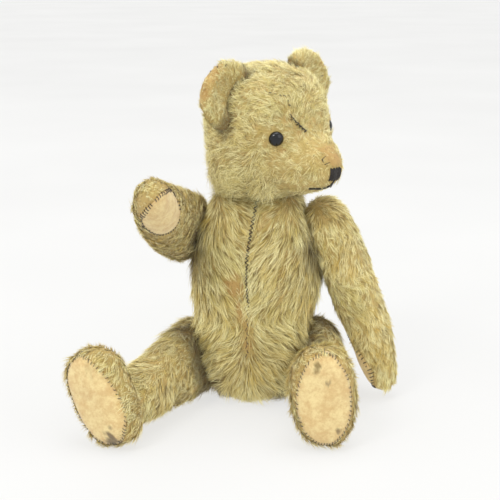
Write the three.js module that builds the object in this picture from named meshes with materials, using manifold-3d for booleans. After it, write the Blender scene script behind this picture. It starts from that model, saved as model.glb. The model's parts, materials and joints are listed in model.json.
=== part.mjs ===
// A seated mohair teddy bear with five disc joints: neck, shoulders and hips.
// Millimetres, +Z up. The bear faces -Y and sits on z = 0. The origin is the middle of the flat patch under
// its body, where it meets the seat. "left" and "right" are the bear's own, so its left is +X.
import * as THREE from "three";
import { mergeVertices } from "three/addons/utils/BufferGeometryUtils.js";
import Module from "manifold-3d";

const wasm = await Module();
wasm.setup();

// ---- Driving dimensions ---------------------------------------------------------------------------------
const COVER = 2; // mohair cloth, backing and crushed pile together
const GAP = 0.3; // room between pieces that touch
const SEAM = 0.3; // width of a sewn seam between two panels
const AROUND = { outside: 16, inside: 12 }; // sides of a stuffed form's section

const rad = THREE.MathUtils.degToRad;

const NECK_HEIGHT = 138;
const HEAD_TURN = rad(49); // the head looks over the bear's left shoulder
const HEAD_ROLL = rad(-3.5); // and leans a little to its right

const PIN_RADIUS = 1;
const PIN_HOLE = PIN_RADIUS + GAP;
const DISC_THICK = 3;
const WASHER = { radius: 7, thick: 1 };
const DISC_RADIUS = { neck: 16, arm: 12, leg: 15 };

const EMBROIDERY = {
  thick: 1.2,
  line: 1.4,
  nose: { half: 6, top: 21, bottom: 12.5 },
  mouth: { half: 11, middle: 10.5, end: 9.5 },
};
const EYE = { radius: 4.6, thick: 3.2, wire: 0.5, at: [24, -43.5, 40], look: [0.6, -0.78, 0.12] };
// Each ear is half of a flat dome, hollowed at the front; turn lays it outward and lean tips it forward.
const EAR = {
  at: [35, -15, 65],
  size: [22, 7, 21],
  hollow: { at: [0, -9, 2.5], size: [17.5, 7.5, 16.5] },
  turn: rad(50),
  lean: rad(-6),
};
// The gusset's half-width at each Y, from the nose to the nape, and the line under it from the chin to the neck.
const GUSSET = {
  half: [[-80, 6], [-60, 8], [-42, 12], [-20, 17], [0, 18], [20, 15], [50, 11]],
  chin: [[-90, -30], [-90, 17], [-40, 12], [0, 6], [0, -30]],
};

// Sizes of the solids that only cut others: far reaches past the whole bear.
const CUT = { far: 400, slab: 60, wide: 120, drill: 8 };

// A joint's frame: local X points out of the body along the joint's axis, and local -Z is the way the limb
// hangs before its swing. yaw turns the axis about Z, tilt lifts its outer end, swing turns the limb on it.
const JOINTS = {
  arm_left: { side: 1, at: [36.5, 1, 105], yaw: 0, tilt: 19.5, swing: -2 },
  arm_right: { side: -1, at: [-35, 1, 104.5], yaw: -12, tilt: 19, swing: -110 },
  leg_left: { side: 1, at: [27, 4, 28.5], yaw: 4, tilt: -16, swing: -89 },
  leg_right: { side: -1, at: [-26, -6, 29], yaw: -20, tilt: -14, swing: -88.5 },
};

// ---- Stuffed forms --------------------------------------------------------------------------------------
// Each row is one section: half-width in X, half-depth in Y, height, and the centre's X and Y.
const BODY_FORM = [
  [0, 0, -3, 0, 2],
  [25, 24, 0.5, 0, 1],
  [34, 35, 10, 0, -1],
  [40, 40, 28, 0, -1],
  [44.5, 42, 50, 0, -2],
  [45, 42, 73, 0, -1],
  [42, 39, 98, 0, 1],
  [39.5, 36, 118, 0, 2],
  [37, 33, 131, 0, 3],
  [26, 24, 138.5, 0, 3],
  [0, 0, 141, 0, 3],
];
const CRANIUM_FORM = [
  [0, 0, -8, 0, -9],
  [27, 26, -3, 0, -9],
  [35, 34, 7, 0, -11],
  [39.5, 38, 22, 0, -12],
  [41, 39.5, 42, 0, -13],
  [39, 37, 59, 0, -12],
  [31, 29, 72, 0, -11],
  [16, 15, 79, 0, -10],
  [0, 0, 80.5, 0, -10],
];
// Along the muzzle's own axis, from inside the skull to the nose.
const MUZZLE_FORM = [
  [0, 0, -6, 0, 0],
  [20, 20, 0, 0, 0],
  [26, 24, 11, 0, 0],
  [23, 21.5, 22, 0, 0],
  [18, 17, 32, 0, 0],
  [12.5, 12, 40, 0, 0],
  [6.5, 6.5, 44.5, 0, 0],
  [0, 0, 45.6, 0, 0],
];
const MUZZLE = { from: [0, -25, 26], droop: rad(11) };
const ARM_FORM = [
  [0, 0, 23, 12, 0],
  [9, 12, 20, 12, 0],
  [14.5, 19, 12, 12, 0],
  [17, 22, -4, 12.5, 0],
  [17, 22, -26, 13.5, 0],
  [15.5, 19.5, -50, 15, -1],
  [13.5, 16.5, -74, 15.5, -3],
  [11, 13, -94, 15, -6],
  [8.5, 9.5, -105, 14.5, -8],
  [4.5, 5.5, -110, 14, -9],
  [0, 0, -111.5, 14, -9],
];
const LEG_FORM = [
  [0, 0, 25, 11, 0],
  [10, 12, 22.5, 11, 0],
  [16, 20, 13, 11, 0],
  [17.5, 24, -3, 11.5, 0],
  [17, 23.5, -26, 12.5, 0],
  [15, 20, -48, 13.5, 1],
  [14, 18.5, -68, 14, 1],
  [14.5, 18, -88, 14, 0],
  [14, 16, -104, 14, 0],
  [0, 0, -109, 14, 0],
];
// How the two legs differ: the foot's bend outward, the length's factor, and the foot's turn about the leg.
const LEG_SHAPE = {
  left: { bend: 0, stretch: 1, twist: rad(-20) },
  right: { bend: 6, stretch: 1.08, twist: rad(10) },
};
// Along the foot, from the heel to the toe.
const FOOT_FORM = [
  [0, 0, -21.5, 0, 0],
  [11, 11, -19, 0, 0],
  [16.5, 16, -10, 0, 0],
  [18.5, 17, 4, 0, 0],
  [19, 16.5, 18, 0, 0],
  [17.5, 15, 29, 0, 0],
  [11, 9.5, 37, 0, 0],
  [0, 0, 40, 0, 0],
];
const FOOT = { at: [14, 0, -99], sole: -109 };
const SOLE_PAD = { halfX: 15.2, halfY: 27.5, y: -9.5 };
const PAW_PAD = {
  halfWide: 12,
  halfLong: 20,
  at: [13.5, -3.5, -86],
  axis: [-0.85, 0.32, -0.3],
  along: [0, -0.3, -1],
};
const ARM_SEAM = 13; // local X of the seam between an arm's two panels

/** A closed mesh as a solid, turned face out if it is inside out. */
function solidOf(geometry, matrix = new THREE.Matrix4()) {
  const bare = geometry.index ? geometry.toNonIndexed() : geometry.clone();
  const world = new THREE.BufferGeometry().setAttribute("position", bare.getAttribute("position"));
  const merged = mergeVertices(world.applyMatrix4(matrix), 1e-3);
  const corners = merged.index.array;
  const kept = [];
  for (let i = 0; i < corners.length; i += 3) {
    const [a, b, c] = corners.slice(i, i + 3);
    if (a !== b && b !== c && c !== a) kept.push(a, b, c);
  }
  const build = (list) =>
    new wasm.Manifold(
      new wasm.Mesh({
        numProp: 3,
        vertProperties: new Float32Array(merged.attributes.position.array),
        triVerts: new Uint32Array(list),
      }),
    );
  const made = build(kept);
  return made.volume() < 0 ? build(kept.reverse()) : made;
}

/** A solid's mesh as a three.js geometry. */
function geometryOf(solid) {
  const { vertProperties, triVerts, numProp } = solid.getMesh();
  const corners = new Float32Array(triVerts.length * 3);
  triVerts.forEach((v, i) => corners.set(vertProperties.subarray(v * numProp, v * numProp + 3), i * 3));
  const geometry = new THREE.BufferGeometry();
  geometry.setAttribute("position", new THREE.BufferAttribute(corners, 3));
  geometry.computeVertexNormals();
  return geometry;
}

/** The same solid moved by a matrix, or mirrored by one. */
const moved = (solid, matrix) => solidOf(geometryOf(solid), matrix);
const mirrorX = new THREE.Matrix4().makeScale(-1, 1, 1);

/** A lathe of unit radius, its rings moved onto a stuffed form's sections and drawn in by inset. */
function stuffed(form, inset = 0) {
  const sizes = new THREE.CatmullRomCurve3(form.map(([x, y, z]) => new THREE.Vector3(x, y, z)));
  const centres = new THREE.CatmullRomCurve3(form.map(([, , , x, y]) => new THREE.Vector3(x, y, 0)));
  for (const curve of [sizes, centres]) curve.curveType = "catmullrom";
  const rings = form.length - 1;
  const middle = (form[0][2] + form.at(-1)[2]) / 2;
  const shrink = 1 - (2 * inset) / Math.abs(form.at(-1)[2] - form[0][2]);
  const profile = [];
  for (let i = 0; i <= rings; i++) profile.push(new THREE.Vector2(i % rings ? 1 : 0, i));
  const lathe = new THREE.LatheGeometry(profile, inset > 0 ? AROUND.inside : AROUND.outside).toNonIndexed();
  const place = lathe.getAttribute("position");
  for (let i = 0; i < place.count; i++) {
    const share = place.getY(i) / rings;
    const size = sizes.getPoint(share);
    const centre = centres.getPoint(share);
    const x = place.getX(i) * Math.max(size.x - inset, 0) + centre.x;
    const y = place.getZ(i) * Math.max(size.y - inset, 0) + centre.y;
    place.setXYZ(i, x, y, middle + (size.z - middle) * shrink);
  }
  return solidOf(lathe);
}

/** A box of sizes sx, sy, sz about the point x, y, z. */
const boxAt = (sx, sy, sz, x, y, z) =>
  solidOf(new THREE.BoxGeometry(sx, sy, sz), new THREE.Matrix4().makeTranslation(x, y, z));

/** A cylinder along local X from x0 to x1. */
function rod(radius, x0, x1, sides = 16) {
  const turn = new THREE.Matrix4().makeRotationZ(Math.PI / 2);
  const to = new THREE.Matrix4().makeTranslation((x0 + x1) / 2, 0, 0);
  return solidOf(new THREE.CylinderGeometry(radius, radius, x1 - x0, sides), to.multiply(turn));
}

/** An extruded outline with its thickness along Z, from z0 to z1. */
function prism(points, z0, z1, matrix = new THREE.Matrix4()) {
  const outline = new THREE.Shape(points.map(([x, y]) => new THREE.Vector2(x, y)));
  const geometry = new THREE.ExtrudeGeometry(outline, { depth: z1 - z0, bevelEnabled: false });
  return solidOf(geometry, matrix.clone().multiply(new THREE.Matrix4().makeTranslation(0, 0, z0)));
}

/** The points of an ellipse. */
function oval(rx, ry, sides = 20) {
  const curve = new THREE.EllipseCurve(0, 0, rx, ry);
  return curve.getPoints(sides).slice(0, -1).map((p) => [p.x, p.y]);
}

const largest = (solid) => solid.decompose().sort((a, b) => b.volume() - a.volume())[0];

/** Everything below a height, as a solid to subtract. */
const below = (z) => boxAt(CUT.far, CUT.far, CUT.slab, 0, 0, z - CUT.slab / 2);

/** Everything on the -X side of a plane, as a solid to subtract. */
const inwardOf = (x) => boxAt(CUT.slab, CUT.wide, CUT.far, x - CUT.slab / 2, 0, 0);

/** The two sides of a solid cut by a seam of width SEAM in the plane x = at, the -X one first. */
function splitAtX(solid, at = 0) {
  const { far } = CUT;
  const cut = (sign) => boxAt(far, far, far, at + sign * (far / 2 - SEAM / 2), 0, 0);
  return [largest(solid.subtract(cut(1))), largest(solid.subtract(cut(-1)))];
}

// ---- Materials ------------------------------------------------------------------------------------------
const material = (color, roughness, metalness = 0) =>
  new THREE.MeshStandardMaterial({ color, roughness, metalness });
const MOHAIR = material(0xb7a272, 0.95);
const FELT = material(0xd9b98c, 0.9);
const WOOD_WOOL = material(0xc9b071, 0.9);
const HARDBOARD = material(0x8a6a45, 0.85);
const STEEL = material(0x8d8d88, 0.4, 1);
const GLASS = material(0x10141c, 0.12);
const THREAD = material(0x17140f, 0.7);

const bear = new THREE.Group();

/** Adds a solid to a group as a named mesh. */
function add(group, name, solid, finish) {
  const mesh = new THREE.Mesh(geometryOf(solid), finish);
  mesh.name = name;
  group.add(mesh);
}

// ---- Joint hardware -------------------------------------------------------------------------------------
/** A wire along a curve through some points, its ends closed. */
function wireAlong(points, radius, steps, sides = 5) {
  const path = new THREE.CatmullRomCurve3(points.map((p) => new THREE.Vector3(...p)));
  const section = new THREE.Shape(oval(radius, radius, sides).map(([x, y]) => new THREE.Vector2(x, y)));
  return solidOf(new THREE.ExtrudeGeometry(section, { steps, bevelEnabled: false, extrudePath: path }));
}

// Places along a joint's axis, from the plane where the two covers meet; the body's side mirrors the limb's.
const DISC_FROM = GAP + COVER + GAP;
const WASHER_FROM = DISC_FROM + DISC_THICK + GAP;
const PIN_FROM = WASHER_FROM + WASHER.thick + GAP;
const POCKET_DEPTH = PIN_FROM + 7;
const PIN_WIRE = PIN_RADIUS * 0.8; // the split pin's eye and its two curled ends

/** A disc across the joint's axis with the pin's hole in it. */
const ring = (radius, from, thick) =>
  rod(radius, from, from + thick).subtract(rod(PIN_HOLE, from - 1, from + thick + 1, 8));

/** The hole that a joint's pin takes through a cover. */
const pinHole = rod(PIN_HOLE, -CUT.drill, CUT.drill, 8);

/** A split pin: an eye on the limb's side, a shank through both discs, and two ends curled in the body. */
function cotterPin() {
  const bend = [[0.6, 0], [-2.2, 0.3], [-4.6, 2.2], [-4.4, 4.6], [-1.9, 5.6]];
  const curl = (way) =>
    wireAlong(bend.map(([x, y]) => [x - PIN_FROM, 0, y * way]), PIN_WIRE, 4);
  const eye = solidOf(
    new THREE.TorusGeometry(2.2, PIN_WIRE, 5, 8),
    new THREE.Matrix4().makeTranslation(PIN_FROM + 3.2, 0, 0),
  );
  return rod(PIN_RADIUS, -PIN_FROM - 0.4, PIN_FROM + 1.4, 8).add(eye).add(curl(1)).add(curl(-1));
}

/** The room that a joint's disc, washer and pin take out of the stuffing on one side of it. */
function pocket(radius, way) {
  const disc = rod(radius + GAP, -5, DISC_FROM + DISC_THICK + GAP);
  const pin = rod(WASHER.radius + 1, 0, POCKET_DEPTH + GAP);
  return moved(disc.add(pin), new THREE.Matrix4().makeScale(way, 1, 1));
}

/** Adds the limb's disc, washer and pin to the limb's group, and the body's disc and washer beside them. */
function addHardware(limb, names, radius, side) {
  const out = new THREE.Matrix4().makeScale(side, 1, 1);
  const into = new THREE.Matrix4().makeScale(-side, 1, 1);
  add(limb, names.limbDisc, moved(ring(radius, DISC_FROM, DISC_THICK), out), HARDBOARD);
  add(limb, names.bodyDisc, moved(ring(radius, DISC_FROM, DISC_THICK), into), HARDBOARD);
  add(limb, names.limbWasher, moved(ring(WASHER.radius, WASHER_FROM, WASHER.thick), out), STEEL);
  add(limb, names.bodyWasher, moved(ring(WASHER.radius, WASHER_FROM, WASHER.thick), into), STEEL);
  add(limb, names.pin, moved(cotterPin(), out), STEEL);
}

// ---- Limb frames ----------------------------------------------------------------------------------------
/** A limb's group in its joint's frame. */
function limbGroup({ side, at, yaw, tilt, swing }) {
  const group = new THREE.Group();
  group.position.set(...at);
  group.rotation.set(rad(swing), rad(-tilt * side), rad(yaw), "ZYX");
  group.updateMatrix();
  bear.add(group);
  return group;
}

const neck = new THREE.Group();
neck.position.set(0, 2, NECK_HEIGHT);
neck.rotation.set(0, 0, HEAD_TURN);
neck.updateMatrix();
bear.add(neck);
const neckJoint = new THREE.Group();
neckJoint.rotation.set(0, -Math.PI / 2, 0);
neckJoint.updateMatrix();
neck.add(neckJoint);
const neckFrame = neck.matrix.clone().multiply(neckJoint.matrix);
const head = new THREE.Group();
head.rotation.set(0, HEAD_ROLL, 0);
head.updateMatrix();
neck.add(head);
const neckInHead = head.matrix.clone().invert();
const neckJointInHead = neckInHead.clone().multiply(neckJoint.matrix);

const limbs = Object.fromEntries(Object.entries(JOINTS).map(([name, joint]) => [name, limbGroup(joint)]));

// ---- Body -----------------------------------------------------------------------------------------------
/** Every joint as [frame, side, disc radius], to flatten the body's cover and make room in its stuffing. */
const bodyJoints = [
  [neckFrame, 1, DISC_RADIUS.neck],
  ...Object.entries(JOINTS).map(([name, { side }]) => [
    limbs[name].matrix,
    side,
    DISC_RADIUS[name.split("_")[0]],
  ]),
];

/** The body's form drawn in by inset, flat under the seat and flat where each disc presses on it. */
function bodyForm(inset) {
  let form = stuffed(BODY_FORM, inset).subtract(below(inset));
  for (const [frame, side] of bodyJoints) {
    const cut = boxAt(CUT.slab, CUT.wide, CUT.wide, side * (CUT.slab / 2 - GAP - inset), 0, 0);
    form = form.subtract(moved(cut, frame));
  }
  return form;
}

const drillBody = (solid) =>
  bodyJoints.reduce((left, [frame]) => left.subtract(moved(pinHole, frame)), solid);

const [bodyRight, bodyLeft] = splitAtX(drillBody(bodyForm(0).subtract(bodyForm(COVER))));
add(bear, "body_panel_left", bodyLeft, MOHAIR);
add(bear, "body_panel_right", bodyRight, MOHAIR);
const bodyStuffing = bodyJoints.reduce(
  (left, [frame, side, radius]) => left.subtract(moved(pocket(radius, -side), frame)),
  bodyForm(COVER + GAP),
);
add(bear, "body_stuffing", largest(bodyStuffing), WOOD_WOOL);

// ---- Head -----------------------------------------------------------------------------------------------
const muzzleFrame = new THREE.Matrix4()
  .makeTranslation(...MUZZLE.from)
  .multiply(new THREE.Matrix4().makeRotationX(Math.PI / 2 + MUZZLE.droop));

/** The head's form drawn in by inset, flat where the neck disc presses on it. */
function headForm(inset) {
  return stuffed(CRANIUM_FORM, inset)
    .add(moved(stuffed(MUZZLE_FORM, inset), muzzleFrame))
    .subtract(moved(below(inset + GAP), neckInHead));
}

/** The gusset between the two side panels, as an upright prism: narrow at the nose, wide between the ears. */
function gussetPrism(grow) {
  const right = GUSSET.half.map(([y, x]) => [x + grow, y]);
  const left = GUSSET.half.map(([y, x]) => [-x - grow, y]).reverse();
  const sideways = new THREE.Matrix4().makeBasis(
    new THREE.Vector3(0, 1, 0), new THREE.Vector3(0, 0, 1), new THREE.Vector3(1, 0, 0));
  const chin = prism(GUSSET.chin, -CUT.slab, CUT.slab, sideways);
  return prism([...right, ...left], 4 - grow, CUT.wide).subtract(chin);
}

/** An eye's frame: local X points the way it looks. */
function eyeFrame(side) {
  const [x, y, z] = EYE.look;
  const look = new THREE.Vector3(side * x, y, z).normalize();
  const turn = new THREE.Quaternion().setFromUnitVectors(new THREE.Vector3(1, 0, 0), look);
  const at = new THREE.Vector3(side * EYE.at[0], EYE.at[1], EYE.at[2]);
  return new THREE.Matrix4().compose(at, turn, new THREE.Vector3(1, 1, 1));
}

/** A head solid with the holes of the neck's pin and of the eyes' wires. */
const drillHead = (solid) =>
  [1, -1].reduce(
    (left, side) => left.subtract(moved(rod(EYE.wire + GAP, -2 * CUT.drill, CUT.drill, 8), eyeFrame(side))),
    solid.subtract(moved(pinHole, neckJointInHead)),
  );
const headShell = drillHead(headForm(0).subtract(headForm(COVER)));
const [headRight, headLeft] = splitAtX(headShell.subtract(gussetPrism(SEAM)));
add(head, "head_side_left", headLeft, MOHAIR);
add(head, "head_side_right", headRight, MOHAIR);
add(head, "head_gusset", largest(headShell.intersect(gussetPrism(0))), MOHAIR);
const headStuffing = drillHead(headForm(COVER + GAP)).subtract(
  moved(pocket(DISC_RADIUS.neck, 1), neckJointInHead));
add(head, "head_stuffing", largest(headStuffing), WOOD_WOOL);

/** A cupped half-round ear of two layers, standing on the head's top corner. */
function addEar(side) {
  const name = side > 0 ? "left" : "right";
  const frame = new THREE.Matrix4()
    .makeTranslation(side * EAR.at[0], EAR.at[1], EAR.at[2])
    .multiply(new THREE.Matrix4().makeRotationY(side * EAR.turn))
    .multiply(new THREE.Matrix4().makeRotationX(EAR.lean));
  const dome = new THREE.SphereGeometry(1, 16, 10);
  const domeAt = (at, size) => {
    const place = frame.clone().multiply(new THREE.Matrix4().makeTranslation(...at));
    return solidOf(dome, place.scale(new THREE.Vector3(...size)));
  };
  const blade = domeAt([0, 0, 0], EAR.size);
  const ear = blade.subtract(domeAt(EAR.hollow.at, EAR.hollow.size)).subtract(headForm(-GAP));
  const { far } = CUT;
  const seam = (way) => moved(boxAt(far, far, far, 0, way * (far / 2 - SEAM / 2), 0), frame);
  add(head, "ear_front_" + name, largest(ear.subtract(seam(1))), MOHAIR);
  add(head, "ear_back_" + name, largest(ear.subtract(seam(-1))), MOHAIR);
}

/** The nose and the mouth, embroidered on the muzzle's tip in raised thread. */
function addEmbroidery() {
  const raised = moved(stuffed(MUZZLE_FORM, -EMBROIDERY.thick), muzzleFrame).subtract(headForm(-GAP));
  const forward = new THREE.Matrix4().makeBasis(
    new THREE.Vector3(1, 0, 0), new THREE.Vector3(0, 0, 1), new THREE.Vector3(0, -1, 0));
  const { nose, mouth, line } = EMBROIDERY;
  const block = [[-nose.half, nose.top], [-nose.half * 0.75, nose.bottom], [nose.half * 0.75, nose.bottom],
    [nose.half, nose.top]].reverse();
  const drop = nose.bottom - GAP;
  const smile = [[-line / 2, drop], [-line / 2, mouth.middle], [-mouth.half, mouth.end],
    [-mouth.half, mouth.end - line], [0, mouth.middle - line], [mouth.half, mouth.end - line],
    [mouth.half, mouth.end], [line / 2, mouth.middle], [line / 2, drop]];
  const inFront = (outline) => largest(raised.intersect(prism(outline, 20, CUT.wide, forward)));
  add(head, "nose", inFront(block), THREAD);
  add(head, "mouth", inFront(smile), THREAD);
}

/** A domed eye on the face, and the wire that holds it, through the cover into the stuffing. */
function addEye(side) {
  const name = side > 0 ? "left" : "right";
  const frame = eyeFrame(side);
  const ball = solidOf(
    new THREE.SphereGeometry(EYE.radius, 12, 8),
    new THREE.Matrix4().makeTranslation(0.6, 0, 0).scale(new THREE.Vector3(EYE.thick / EYE.radius, 1, 1)),
  );
  add(head, "eye_" + name, largest(moved(ball, frame).subtract(headForm(-GAP))), GLASS);
}

addEmbroidery();
for (const side of [1, -1]) {
  addEar(side);
  addEye(side);
}
addHardware(
  neckJoint,
  {
    limbDisc: "neck_disc_in_head",
    bodyDisc: "neck_disc_in_body",
    limbWasher: "neck_washer_in_head",
    bodyWasher: "neck_washer_in_body",
    pin: "neck_pin",
  },
  DISC_RADIUS.neck,
  1,
);

// ---- Arms -----------------------------------------------------------------------------------------------
/** An arm made as the left one, mirrored for the right: two panels, the felt paw pad and the stuffing. */
function addArm(limb, side, name) {
  const form = (inset) => stuffed(ARM_FORM, inset).subtract(inwardOf(GAP + inset));
  const axis = new THREE.Vector3(...PAW_PAD.axis).normalize();
  const along = new THREE.Vector3(...PAW_PAD.along);
  const across = new THREE.Vector3().crossVectors(along, axis).normalize();
  along.crossVectors(axis, across);
  const padFrame = new THREE.Matrix4().makeBasis(across, along, axis).setPosition(...PAW_PAD.at);
  const padPrism = (grow) =>
    prism(oval(PAW_PAD.halfWide + grow, PAW_PAD.halfLong + grow), 0, CUT.slab, padFrame);
  const shell = form(0).subtract(form(COVER)).subtract(pinHole);
  const [inner, outer] = splitAtX(shell.subtract(padPrism(SEAM)), ARM_SEAM);
  const stuffing = form(COVER + GAP).subtract(pocket(DISC_RADIUS.arm, 1));
  const way = side > 0 ? new THREE.Matrix4() : mirrorX;
  add(limb, "arm_outer_" + name, moved(outer, way), MOHAIR);
  add(limb, "arm_inner_" + name, moved(inner, way), MOHAIR);
  add(limb, "paw_pad_" + name, moved(largest(shell.intersect(padPrism(0))), way), FELT);
  add(limb, "arm_stuffing_" + name, moved(largest(stuffing), way), WOOD_WOOL);
  addHardware(
    limb,
    {
      limbDisc: "arm_disc_" + name,
      bodyDisc: "shoulder_disc_" + name,
      limbWasher: "arm_washer_" + name,
      bodyWasher: "shoulder_washer_" + name,
      pin: "shoulder_pin_" + name,
    },
    DISC_RADIUS.arm,
    side,
  );
}

// ---- Legs -----------------------------------------------------------------------------------------------
/** A leg made as the left one, mirrored for the right, with its foot's flat felt sole. */
function addLeg(limb, side, name) {
  const { bend, stretch, twist } = LEG_SHAPE[name];
  const sole = FOOT.sole * stretch;
  const bent = (z) => bend * Math.max(z / FOOT.sole, 0) ** 2;
  const legForm = LEG_FORM.map(([x, y, z, cx, cy]) => [x, y, z * stretch, cx + bent(z), cy]);
  const footFrame = new THREE.Matrix4()
    .makeTranslation(FOOT.at[0] + bent(FOOT.at[2]), FOOT.at[1], FOOT.at[2] * stretch)
    .multiply(new THREE.Matrix4().makeRotationZ(twist));
  const lying = new THREE.Matrix4().makeRotationX(Math.PI / 2);
  const form = (inset) =>
    stuffed(legForm, inset)
      .subtract(inwardOf(GAP + inset))
      .add(moved(stuffed(FOOT_FORM, inset), footFrame.clone().multiply(lying)))
      .subtract(below(sole + inset));
  const soleFrame = footFrame
    .clone()
    .multiply(new THREE.Matrix4().makeTranslation(0, SOLE_PAD.y, sole - FOOT.at[2] * stretch));
  const padPrism = (grow) =>
    prism(oval(SOLE_PAD.halfX + grow, SOLE_PAD.halfY + grow), -1, COVER + 0.5, soleFrame);
  const shell = form(0).subtract(form(COVER)).subtract(pinHole);
  const [inner, outer] = splitAtX(shell.subtract(padPrism(SEAM)), FOOT.at[0]);
  const stuffing = form(COVER + GAP).subtract(pocket(DISC_RADIUS.leg, 1));
  const way = side > 0 ? new THREE.Matrix4() : mirrorX;
  add(limb, "leg_outer_" + name, moved(outer, way), MOHAIR);
  add(limb, "leg_inner_" + name, moved(inner, way), MOHAIR);
  add(limb, "sole_pad_" + name, moved(largest(shell.intersect(padPrism(0))), way), FELT);
  add(limb, "leg_stuffing_" + name, moved(largest(stuffing), way), WOOD_WOOL);
  addHardware(
    limb,
    {
      limbDisc: "leg_disc_" + name,
      bodyDisc: "hip_disc_" + name,
      limbWasher: "leg_washer_" + name,
      bodyWasher: "hip_washer_" + name,
      pin: "hip_pin_" + name,
    },
    DISC_RADIUS.leg,
    side,
  );
}

addArm(limbs.arm_left, 1, "left");
addArm(limbs.arm_right, -1, "right");
addLeg(limbs.leg_left, 1, "left");
addLeg(limbs.leg_right, -1, "right");

export default bear;
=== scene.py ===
"""Looks of a worn mohair teddy bear with disc joints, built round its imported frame.

Torso, Head, Ear, Arm, Leg and Pad are its sub-assemblies, made of what comes before them.
Lengths are millimetres until a mesh is made. The bear faces -Y, its own left is +X, and it sits on z = 0.
"""

import json
import logging
import math
from dataclasses import dataclass, field, replace
from enum import Enum
from typing import Any, Callable, Iterable, Sequence

import bmesh
import bpy
import numpy as np
from mathutils import Matrix, Vector
from mathutils.bvhtree import BVHTree
from mathutils.kdtree import KDTree

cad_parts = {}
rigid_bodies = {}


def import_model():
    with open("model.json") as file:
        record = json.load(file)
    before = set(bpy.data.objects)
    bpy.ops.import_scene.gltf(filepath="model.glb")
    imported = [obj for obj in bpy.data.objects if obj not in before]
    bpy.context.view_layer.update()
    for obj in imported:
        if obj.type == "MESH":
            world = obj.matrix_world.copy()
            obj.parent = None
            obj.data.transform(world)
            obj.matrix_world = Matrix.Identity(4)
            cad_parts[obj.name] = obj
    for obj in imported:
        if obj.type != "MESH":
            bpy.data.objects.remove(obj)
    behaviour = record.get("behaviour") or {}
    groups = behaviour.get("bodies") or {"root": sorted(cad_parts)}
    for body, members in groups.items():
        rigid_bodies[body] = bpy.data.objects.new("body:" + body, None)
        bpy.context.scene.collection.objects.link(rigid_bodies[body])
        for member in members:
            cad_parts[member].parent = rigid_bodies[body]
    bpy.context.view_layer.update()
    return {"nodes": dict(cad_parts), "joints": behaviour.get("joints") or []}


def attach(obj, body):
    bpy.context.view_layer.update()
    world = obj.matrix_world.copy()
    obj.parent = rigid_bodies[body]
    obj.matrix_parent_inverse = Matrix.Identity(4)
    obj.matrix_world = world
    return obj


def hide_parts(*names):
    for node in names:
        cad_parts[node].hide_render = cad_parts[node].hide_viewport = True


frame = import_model()

Array = np.ndarray
Colour = tuple[float, float, float, float]
Point = tuple[float, float, float]
MM = 0.001
# The width of one band of a wave texture at a scale of 1.
BAND = 0.314
# The least heights of cloth and of pile over the ground.
CLOTH_LOW, PILE_LOW = 0.3, 0.25
# How far outside the bear the rays start that look for its cloth.
OUTSIDE = 60.0
log = logging.getLogger("bear")


class Slot(Enum):
    """The record's material slots."""

    MOHAIR = "mohair"
    FELT = "felt"
    GLASS = "eye_glass"
    THREAD = "thread"


class Side(Enum):
    """The bear's own sides, as the sign of X."""

    LEFT = 1
    RIGHT = -1

    @property
    def word(self) -> str:
        """The side's name in a node's name."""
        return self.name.lower()


def srgb(red: int, green: int, blue: int) -> Colour:
    """A colour given in 0 to 255 as Blender's linear one.

    Args:
        red: The red channel.
        green: The green channel.
        blue: The blue channel.

    Returns:
        The linear colour with an alpha of 1.
    """
    def linear(value: int) -> float:
        """One channel made linear."""
        share = value / 255
        return share / 12.92 if share <= 0.04045 else ((share + 0.055) / 1.055) ** 2.4

    return linear(red), linear(green), linear(blue), 1.0


def smooth(value: Array) -> Array:
    """A smooth step from 0 at 0 to 1 at 1."""
    share = np.clip(value, 0, 1)
    return share * share * (3 - 2 * share)


def unit(rows: Array) -> Array:
    """Each row at length 1."""
    return rows / np.maximum(np.linalg.norm(rows, axis=-1, keepdims=True), 1e-9)


# ---- Shader nodes -----------------------------------------------------------------------------------------
class Wire:
    """One output socket of a node, that adds Math nodes when it is reckoned with."""

    def __init__(self, sheet: "NodeSheet", socket: bpy.types.NodeSocket) -> None:
        """Holds the sheet that the socket's node is on, and the socket."""
        self.sheet = sheet
        self.socket = socket

    def _with(self, operation: str, first: Any, second: Any) -> "Wire":
        """A Math node on two values."""
        return self.sheet.node("ShaderNodeMath", {"operation": operation}, {0: first, 1: second})

    def __add__(self, other: Any) -> "Wire":
        """self + other."""
        return self._with("ADD", self, other)

    __radd__ = __add__

    def __mul__(self, other: Any) -> "Wire":
        """self * other."""
        return self._with("MULTIPLY", self, other)

    __rmul__ = __mul__

    def __rsub__(self, other: Any) -> "Wire":
        """other - self."""
        return self._with("SUBTRACT", other, self)

    def step(self, low: float, high: float) -> "Wire":
        """A smooth step from 0 at low to 1 at high."""
        sockets = {"Value": self, "From Min": low, "From Max": high}
        return self.sheet.node("ShaderNodeMapRange", {"interpolation_type": "SMOOTHSTEP"}, sockets)


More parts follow.
